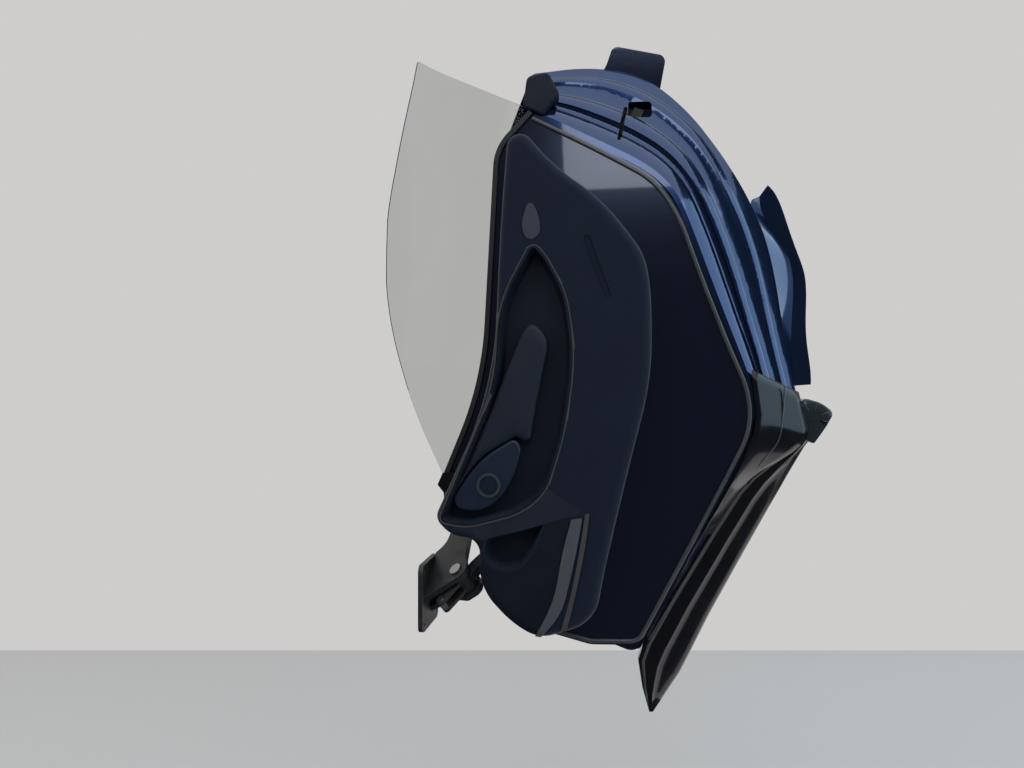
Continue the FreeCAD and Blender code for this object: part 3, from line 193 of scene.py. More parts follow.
# Black cover round the jamb's lower corner: y, z beside the seal, z past the skin's edge
CORNER_STATIONS = [
    (-640.0, -352.0, -463.0),
    (-620.0, -362.0, -478.5),
    (-600.0, -374.0, -494.0),
    (-580.0, -386.0, -509.0),
    (-566.0, -395.0, -514.5),
    (-552.0, -400.0, -514.0),
    (-540.0, -404.0, -510.0),
    (-525.0, -406.0, -503.5),
    (-500.0, -408.0, -488.0),
    (-480.0, -408.5, -474.2),
    (-460.0, -409.0, -462.0),
    (-440.0, -408.5, -452.5),
    (-420.0, -407.5, -444.8),
    (-400.0, -406.5, -439.6),
    (-360.0, -404.0, -433.5),
    (-300.0, -398.0, -426.0),
]
CORNER_SEAL_X = -5.0
CORNER_SKIN_X = 52.5
CORNER_THICKNESS = 4.0
CORNER_PARTS = 8

# Fine ridge over that cover and on along the blade: x, y, z
RIDGE_LINE = [
    (26.5, -638.0, -428.5),
    (26.0, -611.6, -438.6),
    (23.5, -572.7, -451.7),
    (24.5, -545.0, -460.0),
    (27.5, -525.0, -461.5),
    (30.0, -503.1, -457.0),
    (33.0, -477.7, -450.9),
    (41.5, -458.0, -448.5),
    (49.5, -441.2, -446.5),
    (53.0, -420.0, -444.5),
    (56.0, -385.0, -438.5),
    (56.0, -320.0, -430.0),
    (56.0, -251.0, -421.5),
    (56.0, -130.0, -408.8),
    (56.0, -41.0, -399.5),
]
RIDGE_STEPS = 6
RIDGE_RADIUS = 1.6

# Length of the step that finds the inner side of a line, and of the cushion's
TRIAL = 0.5
CUSHION_TRIAL = 1.0

# Sides of round beads and of threads and cells, and the rise from one row of cells to the next
BEAD_SIDES = 8
HEXAGON = 6
ROW_RISE = math.sqrt(0.75)

# Camera and stage, in metres
CAMERA_PLACE = (0.4216, -1.6759, 0.4456)
CAMERA_TURN = 8.0
CAMERA_LENS = 28.125
CAMERA_SENSOR = 36.0
WALL_DISTANCE = 3.2
WALL_SIZE = 12.0
WALL_TONE = (0.62, 0.612, 0.60)
WALL_GLOW = 1.0
FLOOR_LEVEL = -0.62
FLOOR_SIZE = 14.0
FLOOR_TONE = (0.60, 0.59, 0.58)
FLOOR_GLOW = 0.5
PALE_ROUGHNESS = 0.9
AIR_TONE = (0.55, 0.62, 0.75)
AIR_STRENGTH = 0.10

# Lamps: place, aim, width and height, power, colour, and the ways in which they don't show
DOOR_MIDDLE = (0.35, 0.0, 0.5)
LAMPS = {
    "overhead_lamp": (
        (0.4, -1.3, 3.0), DOOR_MIDDLE, (5.0, 3.4), 70.0, (0.86, 0.93, 1.0), []),
    "left_lamp": (
        (-3.6, -1.6, 1.4), DOOR_MIDDLE, (3.0, 3.5), 60.0, (1.0, 0.98, 0.95),
        ["visible_glossy", "visible_transmission"]),
    "right_lamp": (
        (3.6, -0.6, 1.2), DOOR_MIDDLE, (4.4, 3.2), 80.0, (0.60, 0.82, 1.0),
        ["visible_transmission"]),
    "window_lamp": (
        (0.45, -3.6, 1.95), DOOR_MIDDLE, (0.9, 0.5), 5.5, (0.84, 0.90, 1.0), []),
    "low_lamp": (
        (1.35, 0.5, -0.60), (1.35, 0.5, 1.0), (1.3, 1.3), 6.0, (1.0, 0.95, 0.92),
        ["visible_camera"]),
}


# Lines and meshes


def raised(x, y, z):
    """Point of the shut door, in millimetres, where the raised door holds it, in metres."""
    return (SWING @ Vector((x, y, z)) + HINGE_PLACE) * MM


# The way the trim faces on the raised door
TRIM_FACING = (raised(-1.0, 0.0, 0.0) - raised(0.0, 0.0, 0.0)).normalized()


def round_angles(count, first=0.0):
    """Evenly spaced angles of one turn."""
    return [first + 2 * math.pi * k / count for k in range(count)]


def neighbours(loop):
    """Each point of a closed line between the one before and the one after."""
    return zip(loop[-1:] + loop[:-1], loop, loop[1:] + loop[:1])


def left_of(way):
    """Direction at right angles to a direction, on its left."""
    return Vector((-way.y, way.x))


def rounded_loop(corners, step):
    """Points round a closed outline whose corners are rounded by arcs."""
    points = []
    count = len(corners)
    for i, (u, v, radius) in enumerate(corners):
        here = Vector((u, v))
        following = Vector(corners[(i + 1) % count][:2])
        back = Vector(corners[i - 1][:2]) - here
        ahead = following - here
        half_angle = back.angle(ahead) / 2
        reach = min(radius / math.tan(half_angle), ROUND_SHARE * min(back.length, ahead.length))
        radius = reach * math.tan(half_angle)
        inward = (back.normalized() + ahead.normalized()).normalized()
        middle = here + inward * radius / math.sin(half_angle)
        start = here + back.normalized() * reach
        end = here + ahead.normalized() * reach
        first = math.atan2(start.y - middle.y, start.x - middle.x)
        sweep = math.atan2(end.y - middle.y, end.x - middle.x) - first
        sweep = (sweep + math.pi) % (2 * math.pi) - math.pi
        pieces = max(2, round(abs(sweep) * radius / step))
        for k in range(pieces + 1):
            angle = first + sweep * k / pieces
            points.append(middle + Vector((math.cos(angle), math.sin(angle))) * radius)
        for k in range(1, int((following - end).length / step / 2)):
            points.append(end + ahead.normalized() * 2 * step * k)
    return points


def evenly(points, spacing):
    """The same closed line with its points at one spacing."""
    lengths = [(points[(i + 1) % len(points)] - p).length for i, p in enumerate(points)]
    total = sum(lengths)
    count = round(total / spacing)
    made = []
    i = 0
    passed = 0.0
    for k in range(count):
        want = total * k / count
        while passed + lengths[i] < want:
            passed += lengths[i]
            i += 1
        made.append(points[i].lerp(points[(i + 1) % len(points)], (want - passed) / lengths[i]))
    return made


def smooth_line(points, steps, closed):
    """Smooth line through the points, closed on itself or open."""
    if closed:
        ends = points[-1:] + points + points[:2]
    else:
        ends = points[:1] + points + points[-1:]
    made = []
    for a, b, c, d in zip(ends, ends[1:], ends[2:], ends[3:]):
        for step in range(steps):
            t = step / steps
            made.append(0.5 * (2 * b + (c - a) * t + (2 * a - 5 * b + 4 * c - d) * t * t
                               + (3 * b - a - 3 * c + d) * t ** 3))
    return made if closed else made + points[-1:]


def depth_inside(point, loop):
    """How far a point lies inside a closed line; negative outside it."""
    nearest = math.inf
    inside = False
    for here, following in zip(loop, loop[1:] + loop[:1]):
        run = following - here
        share = min(max((point - here).dot(run) / run.length_squared, 0.0), 1.0)
        nearest = min(nearest, (point - here - run * share).length)
        if (here.y > point.y) != (following.y > point.y):
            if point.x < here.x + (point.y - here.y) / (following.y - here.y) * run.x:
                inside = not inside
    return nearest if inside else -nearest


def inset_loop(loop, distance, trial=TRIAL):
    """The same closed line moved inward, or outward where the distance is negative."""
    moved = []
    for back, here, ahead in neighbours(loop):
        side = left_of((ahead - back).normalized())
        if depth_inside(here + side * trial, loop) < 0:
            side = -side
        moved.append(here + side * distance)
    return moved


def field_points(loop, margins, spacing):
    """Points inside a closed line: rows beside it at some margins, then an even field."""
    found = []
    for margin in margins:
        for back, here, ahead in neighbours(loop):
            side = left_of((ahead - back).normalized())
            for place in (here + side * margin, here - side * margin):
                if depth_inside(place, loop) > ROW_SHARE * margin:
                    found.append(place)
    low = Vector((min(p.x for p in loop), min(p.y for p in loop)))
    high = Vector((max(p.x for p in loop), max(p.y for p in loop)))
    for row in range(int((high.y - low.y) / spacing) + 1):
        for column in range(int((high.x - low.x) / spacing) + 1):
            place = low + Vector((column + 0.5 * (row % 2), row)) * spacing
            if depth_inside(place, loop) > margins[-1] + FIELD_SHARE * spacing:
                found.append(place)
    return found


def join_rings(form, rings, closed=False):
    """Faces from each ring of vertices to the next, and from the last to the first if closed."""
    following = rings[1:] + rings[:1] if closed else rings[1:]
    for low, high in zip(rings, following):
        for i in range(len(low)):
            j = (i + 1) % len(low)
            form.faces.new([low[i], low[j], high[j], high[i]])


def fill_ends(form, rings):
    """Faces that close the first and the last ring."""
    form.faces.new(rings[0][::-1])
    form.faces.new(rings[-1])


def mesh_of(form, name):
    """Mesh of a form, its faces turned outward."""
    bmesh.ops.recalc_face_normals(form, faces=form.faces)
    mesh = bpy.data.meshes.new(name)
    form.to_mesh(mesh)
    form.free()
    return mesh


def lofted(name, rows):
    """Mesh through closed rows of points, with both ends filled."""
    form = bmesh.new()
    rings = [[form.verts.new(point) for point in row] for row in rows]
    join_rings(form, rings)
    fill_ends(form, rings)
    return mesh_of(form, name)


def beaded(name, line, radius, closed):
    """Mesh of a round bead along a line of points x, y, z on the shut door."""
    points = [raised(*point) for point in line]
    form = bmesh.new()
    rings = []
    for i, here in enumerate(points):
        back = points[i - 1] if closed or i > 0 else here
        ahead = points[(i + 1) % len(points)] if closed or i < len(points) - 1 else here
        across = (ahead - back).normalized().cross(TRIM_FACING).normalized()
        rings.append([
            form.verts.new(here + (across * math.cos(a) + TRIM_FACING * math.sin(a)) * radius * MM)
            for a in round_angles(BEAD_SIDES)])
    join_rings(form, rings, closed)
    if not closed:
        fill_ends(form, rings)
    return mesh_of(form, name)


def new_piece(name, mesh, surface, smooth=True):
    """Piece on the door from a mesh, with its finish. Many-sided end faces stay flat."""
    piece = bpy.data.objects.new(name, mesh)
    bpy.context.scene.collection.objects.link(piece)
    mesh.materials.append(surface)
    for face in mesh.polygons:
        face.use_smooth = smooth and len(face.vertices) < 5
    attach(piece, "door")
    return piece


# Shader parts


def add(tree, kind, inputs=None, **settings):
    """New shader node with its settings; its inputs are values or outputs of other nodes."""
    node = tree.nodes.new("ShaderNode" + kind)
    for key, value in settings.items():
        setattr(node, key, value)
    for key, value in (inputs or {}).items():
        if isinstance(value, bpy.types.NodeSocket):
            tree.links.new(value, node.inputs[key])
        else:
            node.inputs[key].default_value = value
    return node


def noise(tree, place, scale, detail, **others):
    """Cloudy noise at a scale; others are more of its inputs."""
    inputs = {"Vector": place, "Scale": scale, "Detail": detail, **others}
    return add(tree, "TexNoise", inputs).outputs[0]


def ranged(tree, value, low, high, first, last):
    """A value that runs from low to high, made to run from first to last."""
    inputs = {"Value": value, 1: low, 2: high, 3: first, 4: last}
    return add(tree, "MapRange", inputs).outputs[0]


def product(tree, first, second):
    """Product of two values or outputs."""
    return add(tree, "Math", {0: first, 1: second}, operation="MULTIPLY").outputs[0]


def share_added(tree, value, share, base):
    """A share of a value, added to another."""
    inputs = {0: value, 1: share, 2: base}
    return add(tree, "Math", inputs, operation="MULTIPLY_ADD").outputs[0]


def larger(tree, first, second):
    """The larger of two outputs."""
    return add(tree, "Math", {0: first, 1: second}, operation="MAXIMUM").outputs[0]


def blend(tree, share, first, second):
    """Colour between two, which are values or outputs, by a share."""
    return add(tree, "Mix", {0: share, 6: first, 7: second}, data_type="RGBA").outputs[2]


def mixture(tree, share, first, second):
    """Surface between two, by a share."""
    return add(tree, "MixShader", {0: share, 1: first, 2: second}).outputs[0]


def new_group(name, takes, gives):
    """Empty shader group with number inputs and outputs."""
    tree = bpy.data.node_groups.new(name, "ShaderNodeTree")
    for label, value in takes:
        socket = tree.interface.new_socket(label, in_out="INPUT", socket_type="NodeSocketFloat")
        socket.default_value = value
    for label in gives:
        tree.interface.new_socket(label, in_out="OUTPUT", socket_type="NodeSocketFloat")
    return tree, tree.nodes.new("NodeGroupInput"), tree.nodes.new("NodeGroupOutput")


def grain_group(name, scale):
    """Empty grain group that takes a scale, with the place in the object that grains use."""
    tree, taken, given = new_group(name, [("Scale", scale)], ["Height", "Tone"])
    return tree, taken.outputs["Scale"], given, add(tree, "TexCoord").outputs["Object"]


def grain_of(tree, given, height, tone):
    """The grain group, giving a height and a tone."""
    tree.links.new(height, given.inputs["Height"])
    tree.links.new(tone, given.inputs["Tone"])
    return tree


def leather_grain():
    """Pebbled cells with fine creases."""
    tree, scale, given, place = grain_group("leather_grain", 900.0)
    cells = add(tree, "TexVoronoi", {"Vector": place, "Scale": scale}, feature="SMOOTH_F1")
    broad = noise(tree, place, 14.0, 4.0)
    fine = noise(tree, place, 2600.0, 2.0)
    both = share_added(tree, fine, 0.25, cells.outputs["Distance"])
    return grain_of(tree, given, both, broad)


def fibre_nap():
    """Short brushed fibres with broad patches where the nap lies another way."""
    tree, scale, given, place = grain_group("fibre_nap", 1800.0)
    drawn = {"Vector": place, "Scale": (1.0, 1.0, 0.35), "Rotation": (0.0, 0.4, 0.0)}
    strokes = add(tree, "Mapping", drawn).outputs[0]
    fibres = noise(tree, strokes, scale, 3.0)
    patches = noise(tree, place, 9.0, 5.0, Distortion=0.6)
    return grain_of(tree, given, fibres, patches)


def moulded_face():
    """Fine spark-eroded texture of a moulding, with faint flow marks."""
    tree, scale, given, place = grain_group("moulded_face", 1400.0)
    pits = noise(tree, place, scale, 4.0)
    flow = noise(tree, place, 7.0, 6.0, Distortion=1.2)
    return grain_of(tree, given, pits, flow)


def paint_flake():
    """Metal flakes under lacquer, and the long waves of sprayed paint."""
    tree, scale, given, place = grain_group("paint_flake", 1600.0)
    flakes = add(tree, "TexVoronoi", {"Vector": place, "Scale": scale})
    spark = add(tree, "SeparateColor", {0: flakes.outputs["Color"]}).outputs[0]
    waves = noise(tree, place, 120.0, 1.0)
    return grain_of(tree, given, waves, spark)


def brushing():
    """Long fine scratches, all one way."""
    tree, scale, given, place = grain_group("brushing", 1500.0)
    drawn = {"Vector": place, "Scale": (1.0, 1.0, 0.02), "Rotation": (0.0, -0.25, 0.0)}
    scratches = noise(tree, add(tree, "Mapping", drawn).outputs[0], scale, 5.0)
    return grain_of(tree, given, scratches, scratches)


def cast_skin():
    """Blasted casting: pits over slow swells."""
    tree, scale, given, place = grain_group("cast_skin", 700.0)
    pits = noise(tree, place, scale, 6.0, Roughness=0.7)
    swells = noise(tree, place, 30.0, 3.0)
    return grain_of(tree, given, pits, swells)


def patchy_mask(tree, taken, given, strength, patches, thin, thick):
    """The mask group, giving a strength broken up by patches, times the group's Amount."""
    cover = ranged(tree, patches, thin, thick, 0.0, 1.0)
    held = product(tree, product(tree, strength, cover), taken.outputs["Amount"])
    tree.links.new(held, given.inputs["Mask"])
    return tree


def rubbed_edges():
    """Mask of sharp edges, broken up where hands and dirt have rubbed them."""
    tree, taken, given = new_group("rubbed_edges", [("Reach", 0.0015), ("Amount", 0.5)], ["Mask"])
    soft = add(tree, "Bevel", {"Radius": taken.outputs["Reach"]}, samples=4).outputs[0]
    true = add(tree, "NewGeometry").outputs["Normal"]
    agree = add(tree, "VectorMath", {0: soft, 1: true}, operation="DOT_PRODUCT")
    edge = ranged(tree, agree.outputs["Value"], 0.995, 0.8, 0.0, 1.0)
    place = add(tree, "TexCoord").outputs["Object"]
    patches = noise(tree, place, 90.0, 6.0, Roughness=0.65)
    return patchy_mask(tree, taken, given, edge, patches, 0.42, 0.62)


def settled_dust():
    """Mask of faces that look up, patchy, as dust settles."""
    tree, taken, given = new_group("settled_dust", [("Amount", 0.2)], ["Mask"])
    facing = add(tree, "SeparateXYZ", {0: add(tree, "NewGeometry").outputs["Normal"]})
    upward = ranged(tree, facing.outputs[2], 0.1, 1.0, 0.15, 1.0)
    place = add(tree, "TexCoord").outputs["Object"]
    patches = noise(tree, place, 26.0, 8.0, Roughness=0.7)
    return patchy_mask(tree, taken, given, upward, patches, 0.35, 0.75)


GRAINS = {
    "leather": leather_grain(),
    "nap": fibre_nap(),
    "moulded": moulded_face(),
    "flake": paint_flake(),
    "brushed": brushing(),
    "cast": cast_skin(),
}
RUBBED = rubbed_edges()
DUST = settled_dust()
DUST_TONE = (0.3, 0.29, 0.27, 1.0)
DUST_ROUGHNESS = 0.5


def group_node(tree, group, **values):
    """A shader group placed in a material with its own values."""
    node = tree.nodes.new("ShaderNodeGroup")
    node.node_tree = group
    for key, value in values.items():
        node.inputs[key].default_value = value
    return node


def finish(name, grain, scale, relief, dark, light, gloss, rubbed, wear=0.5, dust=0.2, **shader):
    """Material: grain of two tones, edges rubbed to a third colour and a film of dust.

    gloss holds the roughness where the tone is low and where it is high; shader holds
    values for the shader's own sockets.
    """
    made = bpy.data.materials.new(name)
    made.use_nodes = True
    tree = made.node_tree
    surface = tree.nodes["Principled BSDF"]
    for key, value in shader.items():
        surface.inputs[key.replace("_", " ")].default_value = value
    face = group_node(tree, GRAINS[grain], Scale=scale)
    edges = group_node(tree, RUBBED, Amount=wear)
    film = group_node(tree, DUST, Amount=dust)
    tones = blend(tree, face.outputs["Tone"], (*dark, 1.0), (*light, 1.0))
    worn = blend(tree, edges.outputs[0], tones, (*rubbed, 1.0))
    dusty = blend(tree, film.outputs[0], worn, DUST_TONE)
    tree.links.new(dusty, surface.inputs["Base Color"])
    rough = ranged(tree, face.outputs["Tone"], 0.3, 0.7, *gloss)
    dulled = share_added(tree, film.outputs[0], DUST_ROUGHNESS, rough)
    tree.links.new(dulled, surface.inputs["Roughness"])
    pressed = {"Height": face.outputs["Height"], "Distance": relief, "Strength": 1.0}
    tree.links.new(add(tree, "Bump", pressed).outputs[0], surface.inputs["Normal"])
    return made


def clear_glass():
    """Grey side glass with a faint film that dulls it unevenly."""
    made = bpy.data.materials.new("tinted_glass")
    made.use_nodes = True
    tree = made.node_tree
    surface = tree.nodes["Principled BSDF"]
    surface.inputs["Transmission Weight"].default_value = 1.0
    surface.inputs["IOR"].default_value = 1.12
    face = group_node(tree, GRAINS["moulded"], Scale=60.0)
    tint = blend(tree, face.outputs["Tone"], (0.66, 0.665, 0.67, 1.0), (0.70, 0.705, 0.71, 1.0))
    tree.links.new(tint, surface.inputs["Base Color"])
    smear = ranged(tree, face.outputs["Tone"], 0.4, 0.8, 0.0, 0.03)
    tree.links.new(smear, surface.inputs["Roughness"])
    return made


FINISHES = {
    "navy_paint": finish(
        "navy_paint", "flake", 1700.0, 0.00002,
        (0.009, 0.026, 0.080), (0.014, 0.039, 0.120), (0.12, 0.20), (0.05, 0.07, 0.11),
        wear=0.3, dust=0.04, Metallic=0.8, Coat_Weight=1.0, Coat_Roughness=0.03),
    # Darker copy of the navy paint: painted shade on the inner panel and on the tendon's face
    "panel_navy_painted_shade": finish(
        "panel_navy_painted_shade", "flake", 1700.0, 0.00002,
        (0.006, 0.010, 0.026), (0.010, 0.016, 0.040), (0.14, 0.22), (0.04, 0.05, 0.07),
        wear=0.3, dust=0.03, Metallic=0.6, Coat_Weight=1.0, Coat_Roughness=0.03),
    "black_trim": finish(
        "black_trim", "moulded", 1500.0, 0.00002,
        (0.004, 0.004, 0.006), (0.008, 0.0075, 0.010), (0.14, 0.24), (0.04, 0.038, 0.038),
        dust=0.03, Specular_IOR_Level=0.25, Coat_Weight=0.35, Coat_Roughness=0.05),
    "fin_grey": finish(
        "fin_grey", "moulded", 1300.0, 0.00002,
        (0.014, 0.020, 0.022), (0.024, 0.032, 0.034), (0.18, 0.30), (0.08, 0.08, 0.08),
        dust=0.05, Coat_Weight=0.4, Coat_Roughness=0.08),
    "rubber_seal": finish(
        "rubber_seal", "moulded", 1100.0, 0.00006,
        (0.012, 0.012, 0.013), (0.022, 0.022, 0.024), (0.45, 0.62), (0.06, 0.06, 0.06),
        dust=0.18),
    # Greyer than the rubber seal: this base colour partly paints the highlight line along the door
    # seal and the jamb ridge
    "seal_bead_painted_highlight": finish(
        "seal_bead_painted_highlight", "moulded", 1100.0, 0.00003,
        (0.050, 0.050, 0.055), (0.075, 0.075, 0.080), (0.22, 0.34), (0.12, 0.12, 0.12),
        dust=0.10, Coat_Weight=0.4, Coat_Roughness=0.15),
    "glass": clear_glass(),
    "card_suede": finish(
        "card_suede", "nap", 1900.0, 0.00010,
        (0.0065, 0.0105, 0.022), (0.0110, 0.0165, 0.032), (0.82, 0.95), (0.03, 0.034, 0.045),
        dust=0.03, Sheen_Weight=0.35, Sheen_Roughness=0.4, Specular_IOR_Level=0.2),
    "card_dark": finish(
        "card_dark", "moulded", 1300.0, 0.00007,
        (0.0040, 0.0075, 0.0155), (0.0070, 0.0120, 0.0230), (0.55, 0.75), (0.03, 0.032, 0.04),
        dust=0.06, Specular_IOR_Level=0.3),
    "card_leather": finish(
        "card_leather", "leather", 950.0, 0.00012,
        (0.009, 0.013, 0.024), (0.015, 0.020, 0.035), (0.48, 0.62), (0.035, 0.038, 0.045),
        dust=0.05, Specular_IOR_Level=0.4),
    "kick_leather": finish(
        "kick_leather", "leather", 950.0, 0.00012,
        (0.0035, 0.0055, 0.0110), (0.0060, 0.0090, 0.0165), (0.55, 0.70), (0.03, 0.032, 0.038),
        dust=0.05, Specular_IOR_Level=0.3),
    "pad_leather": finish(
        "pad_leather", "leather", 850.0, 0.00014,
        (0.0085, 0.0130, 0.024), (0.0135, 0.0190, 0.032), (0.55, 0.68), (0.045, 0.05, 0.06),
        dust=0.04, Specular_IOR_Level=0.4),
    # Light grey: partly paints the highlight line on the recess rim's piping and on the card's
    # edge strip
    "piping_grey_painted_highlight": finish(
        "piping_grey_painted_highlight", "leather", 2400.0, 0.00003,
        (0.050, 0.046, 0.046), (0.080, 0.072, 0.070), (0.42, 0.56), (0.12, 0.11, 0.10),
        dust=0.04),
    "tan_thread": finish(
        "tan_thread", "leather", 5000.0, 0.00010,
        (0.10, 0.078, 0.058), (0.17, 0.135, 0.10), (0.60, 0.80), (0.17, 0.135, 0.10),
        dust=0.02),
    "pod_plastic": finish(
        "pod_plastic", "moulded", 1800.0, 0.00003,
        (0.008, 0.015, 0.032), (0.013, 0.023, 0.046), (0.34, 0.46), (0.04, 0.06, 0.10),
        dust=0.05),
    "grille_grey": finish(
        "grille_grey", "moulded", 2000.0, 0.00003,
        (0.030, 0.035, 0.045), (0.045, 0.052, 0.064), (0.42, 0.56), (0.10, 0.11, 0.13),
        dust=0.05),
    "brushed_strip": finish(
        "brushed_strip", "brushed", 1700.0, 0.00003,
        (0.26, 0.265, 0.28), (0.38, 0.385, 0.40), (0.30, 0.48), (0.35, 0.35, 0.36),
        dust=0.08, Metallic=0.85),
    # Black in place of the latch's steel: painted shade in the latch's slit
    "latch_black_painted_shade": finish(
        "latch_black_painted_shade", "cast", 900.0, 0.00008,
        (0.006, 0.006, 0.007), (0.012, 0.012, 0.013), (0.40, 0.60), (0.10, 0.10, 0.10),
        wear=0.7, dust=0.10),
    "cast_bracket": finish(
        "cast_bracket", "cast", 750.0, 0.00018,
        (0.035, 0.035, 0.038), (0.060, 0.060, 0.064), (0.42, 0.60), (0.40, 0.40, 0.41),
        wear=0.8, dust=0.15, Metallic=0.6),
    "steel": finish(
        "steel", "brushed", 900.0, 0.00004,
        (0.36, 0.36, 0.35), (0.50, 0.50, 0.49), (0.22, 0.40), (0.7, 0.7, 0.7),
        dust=0.12, Metallic=1.0),
    "chrome_rod": finish(
        "chrome_rod", "brushed", 600.0, 0.00001,
        (0.62, 0.63, 0.65), (0.74, 0.75, 0.77), (0.05, 0.14), (0.8, 0.8, 0.8),
        dust=0.05, Metallic=1.0),
    "strut_black": finish(
        "strut_black", "moulded", 500.0, 0.00004,
        (0.010, 0.010, 0.011), (0.018, 0.018, 0.019), (0.22, 0.36), (0.25, 0.25, 0.25),
        wear=0.7, dust=0.15, Coat_Weight=0.4, Coat_Roughness=0.1),
}

# Nodes whose finish isn't that of their slot. The latch, inner panel and tendon take darker
# finishes that paint shade; the seal and edge strip take lighter ones that paint highlights.
OWN_FINISHES = {
    "door_seal": "seal_bead_painted_highlight",
    "latch_case": "latch_black_painted_shade",
    "latch_claw": "latch_black_painted_shade",
    "corner_cover": "card_dark",
    "edge_strip": "piping_grey_painted_highlight",
    "tendon": "panel_navy_painted_shade",
    "inner_panel": "panel_navy_painted_shade",
    "lower_card": "kick_leather",
}


# Pieces


def dress_nodes():
    """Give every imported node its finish."""
    for row in frame["record"]["subparts"]:
        mesh = frame["nodes"][row["node"]].data
        mesh.materials.clear()
        mesh.materials.append(FINISHES[OWN_FINISHES.get(row["node"], row["material_slot"])])


def armrest_cushion():
    """Stuffed armrest: a crowned cover with soft edges, drawn in at its foot."""
    loop = evenly(rounded_loop(CUSHION_OUTLINE, CUSHION_ARC_STEP), CUSHION_STEP)
    inner = field_points(loop, CUSHION_MARGINS, CUSHION_FIELD)
    flat, _, triangles, *_ = delaunay_2d_cdt(loop + inner, [], [list(range(len(loop)))], 1, 0.01)
    form = bmesh.new()
    cover = []
    for point in flat:
        depth = max(depth_inside(point, loop), 0.0)
        crown = CUSHION_CROWN * (1.0 - math.exp(-depth / CUSHION_SOFTNESS))
        swell = CUSHION_SWELL * min(depth / CUSHION_SWELL_REACH, 1.0)
        height = CUSHION_EDGE + crown + swell
        cover.append(form.verts.new(raised(RECESS_FLOOR - height, point.x, point.y)))
    for triangle in triangles:
        form.faces.new([cover[i] for i in triangle])
    edge = [min(range(len(flat)), key=lambda i: (flat[i] - point).length) for point in loop]
    rings = [[cover[i] for i in edge]]
    for height, pull in CUSHION_SIDES:
        rings.append([
            form.verts.new(raised(RECESS_FLOOR - height, place.x, place.y))
            for place in inset_loop(loop, pull, CUSHION_TRIAL)])
    join_rings(form, rings)
    form.faces.new(rings[-1])
    mesh = mesh_of(form, "armrest_cushion")
    cushion = new_piece("armrest_cushion", mesh, FINISHES["pad_leather"])
    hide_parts("armrest_pad")


def stitch(form, start, end):
    """One stitch: a short thread that dips into the cloth at both ends."""
    side = (end - start).normalized().cross(TRIM_FACING).normalized()
    rings = []
    for share, rise, wide in STITCH_ROWS:
        middle = start.lerp(end, share) + TRIM_FACING * (rise * THREAD)
        half = THREAD * 0.5 * wide
        rings.append([
            form.verts.new(
                middle + side * (half * math.cos(a)) + TRIM_FACING * (half * math.sin(a)))
            for a in round_angles(HEXAGON)])
    join_rings(form, rings)
    fill_ends(form, rings)


def recess_stitching():
    """Tan thread stitched round the rim of the oval recess."""
    rim = evenly(rounded_loop(OVAL_OUTLINE, OVAL_ARC_STEP), STITCH_PITCH)
    middle = sum(rim, Vector((0.0, 0.0))) / len(rim)
    form = bmesh.new()
    for here, following in zip(rim, rim[1:] + rim[:1]):
        run = (following - here).normalized()
        away = left_of(run)
        if away.dot(here - middle) < 0:
            away = -away
        first = here + away * STITCH_OUT + run * STITCH_GAP
        last = following + away * STITCH_OUT - run * STITCH_GAP
        stitch(form, raised(CARD_FACE, first.x, first.y), raised(CARD_FACE, last.x, last.y))
    mesh = mesh_of(form, "recess_stitching")
    new_piece("recess_stitching", mesh, FINISHES["tan_thread"])


def rim_piping():
    """Thin piping sewn round the rim of the oval recess; its light grey partly paints the
    highlight line on the rim.
    """
    rim = evenly(rounded_loop(OVAL_OUTLINE, OVAL_ARC_STEP), PIPING_STEP)
    line = [(CARD_FACE, point.x, point.y) for point in inset_loop(rim, -PIPING_OUT)]
    mesh = beaded("rim_piping", line, PIPING_RADIUS, True)
    new_piece("rim_piping", mesh, FINISHES["piping_grey_painted_highlight"])


def grille_mesh():
    """Pierced plate inside the rim of the speaker grille, in six-sided cells."""
    form = bmesh.new()
    reach = int(GRILLE_RADIUS / GRILLE_PITCH) + 2
    cell_radius = GRILLE_PITCH / math.sqrt(3.0)
    rows = (
        (GRILLE_FACE, cell_radius),
        (GRILLE_FACE, GRILLE_HOLE),
        (GRILLE_FACE + GRILLE_DEPTH, GRILLE_HOLE),
    )
    for row in range(-reach, reach + 1):
        for column in range(-reach, reach + 1):
            cell = Vector((column + 0.5 * (row % 2), row * ROW_RISE)) * GRILLE_PITCH
            if cell.length > GRILLE_RADIUS - cell_radius:
                continue
            rings = []
            for x, radius in rows:
                corners = [
                    GRILLE_PLACE + cell + Vector((math.cos(a), math.sin(a))) * radius
                    for a in round_angles(HEXAGON, math.pi / HEXAGON)]
                rings.append([form.verts.new(raised(x, place.x, place.y)) for place in corners])
            join_rings(form, rings)
    bmesh.ops.remove_doubles(form, verts=form.verts, dist=GRILLE_WELD)
    mesh = mesh_of(form, "grille_mesh")
    new_piece("grille_mesh", mesh, FINISHES["pod_plastic"], smooth=False)


def sill_moulding():
    """Black blade along the door's foot: a bead, a hollow band and a rounded lip."""
    rows = []
    for y, top, bottom, wide in BLADE_STATIONS:
        section = [
            Vector((BLADE_MIDDLE + (x - BLADE_MIDDLE) * wide, top + (bottom - top) * share))
            for x, share in BLADE_SECTION]
        rows.append([
            raised(point.x, y, point.y) for point in smooth_line(section, BLADE_STEPS, True)])
    mesh = lofted("sill_moulding", rows)
    moulding = new_piece("sill_moulding", mesh, FINISHES["black_trim"])
    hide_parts("sill_blade")


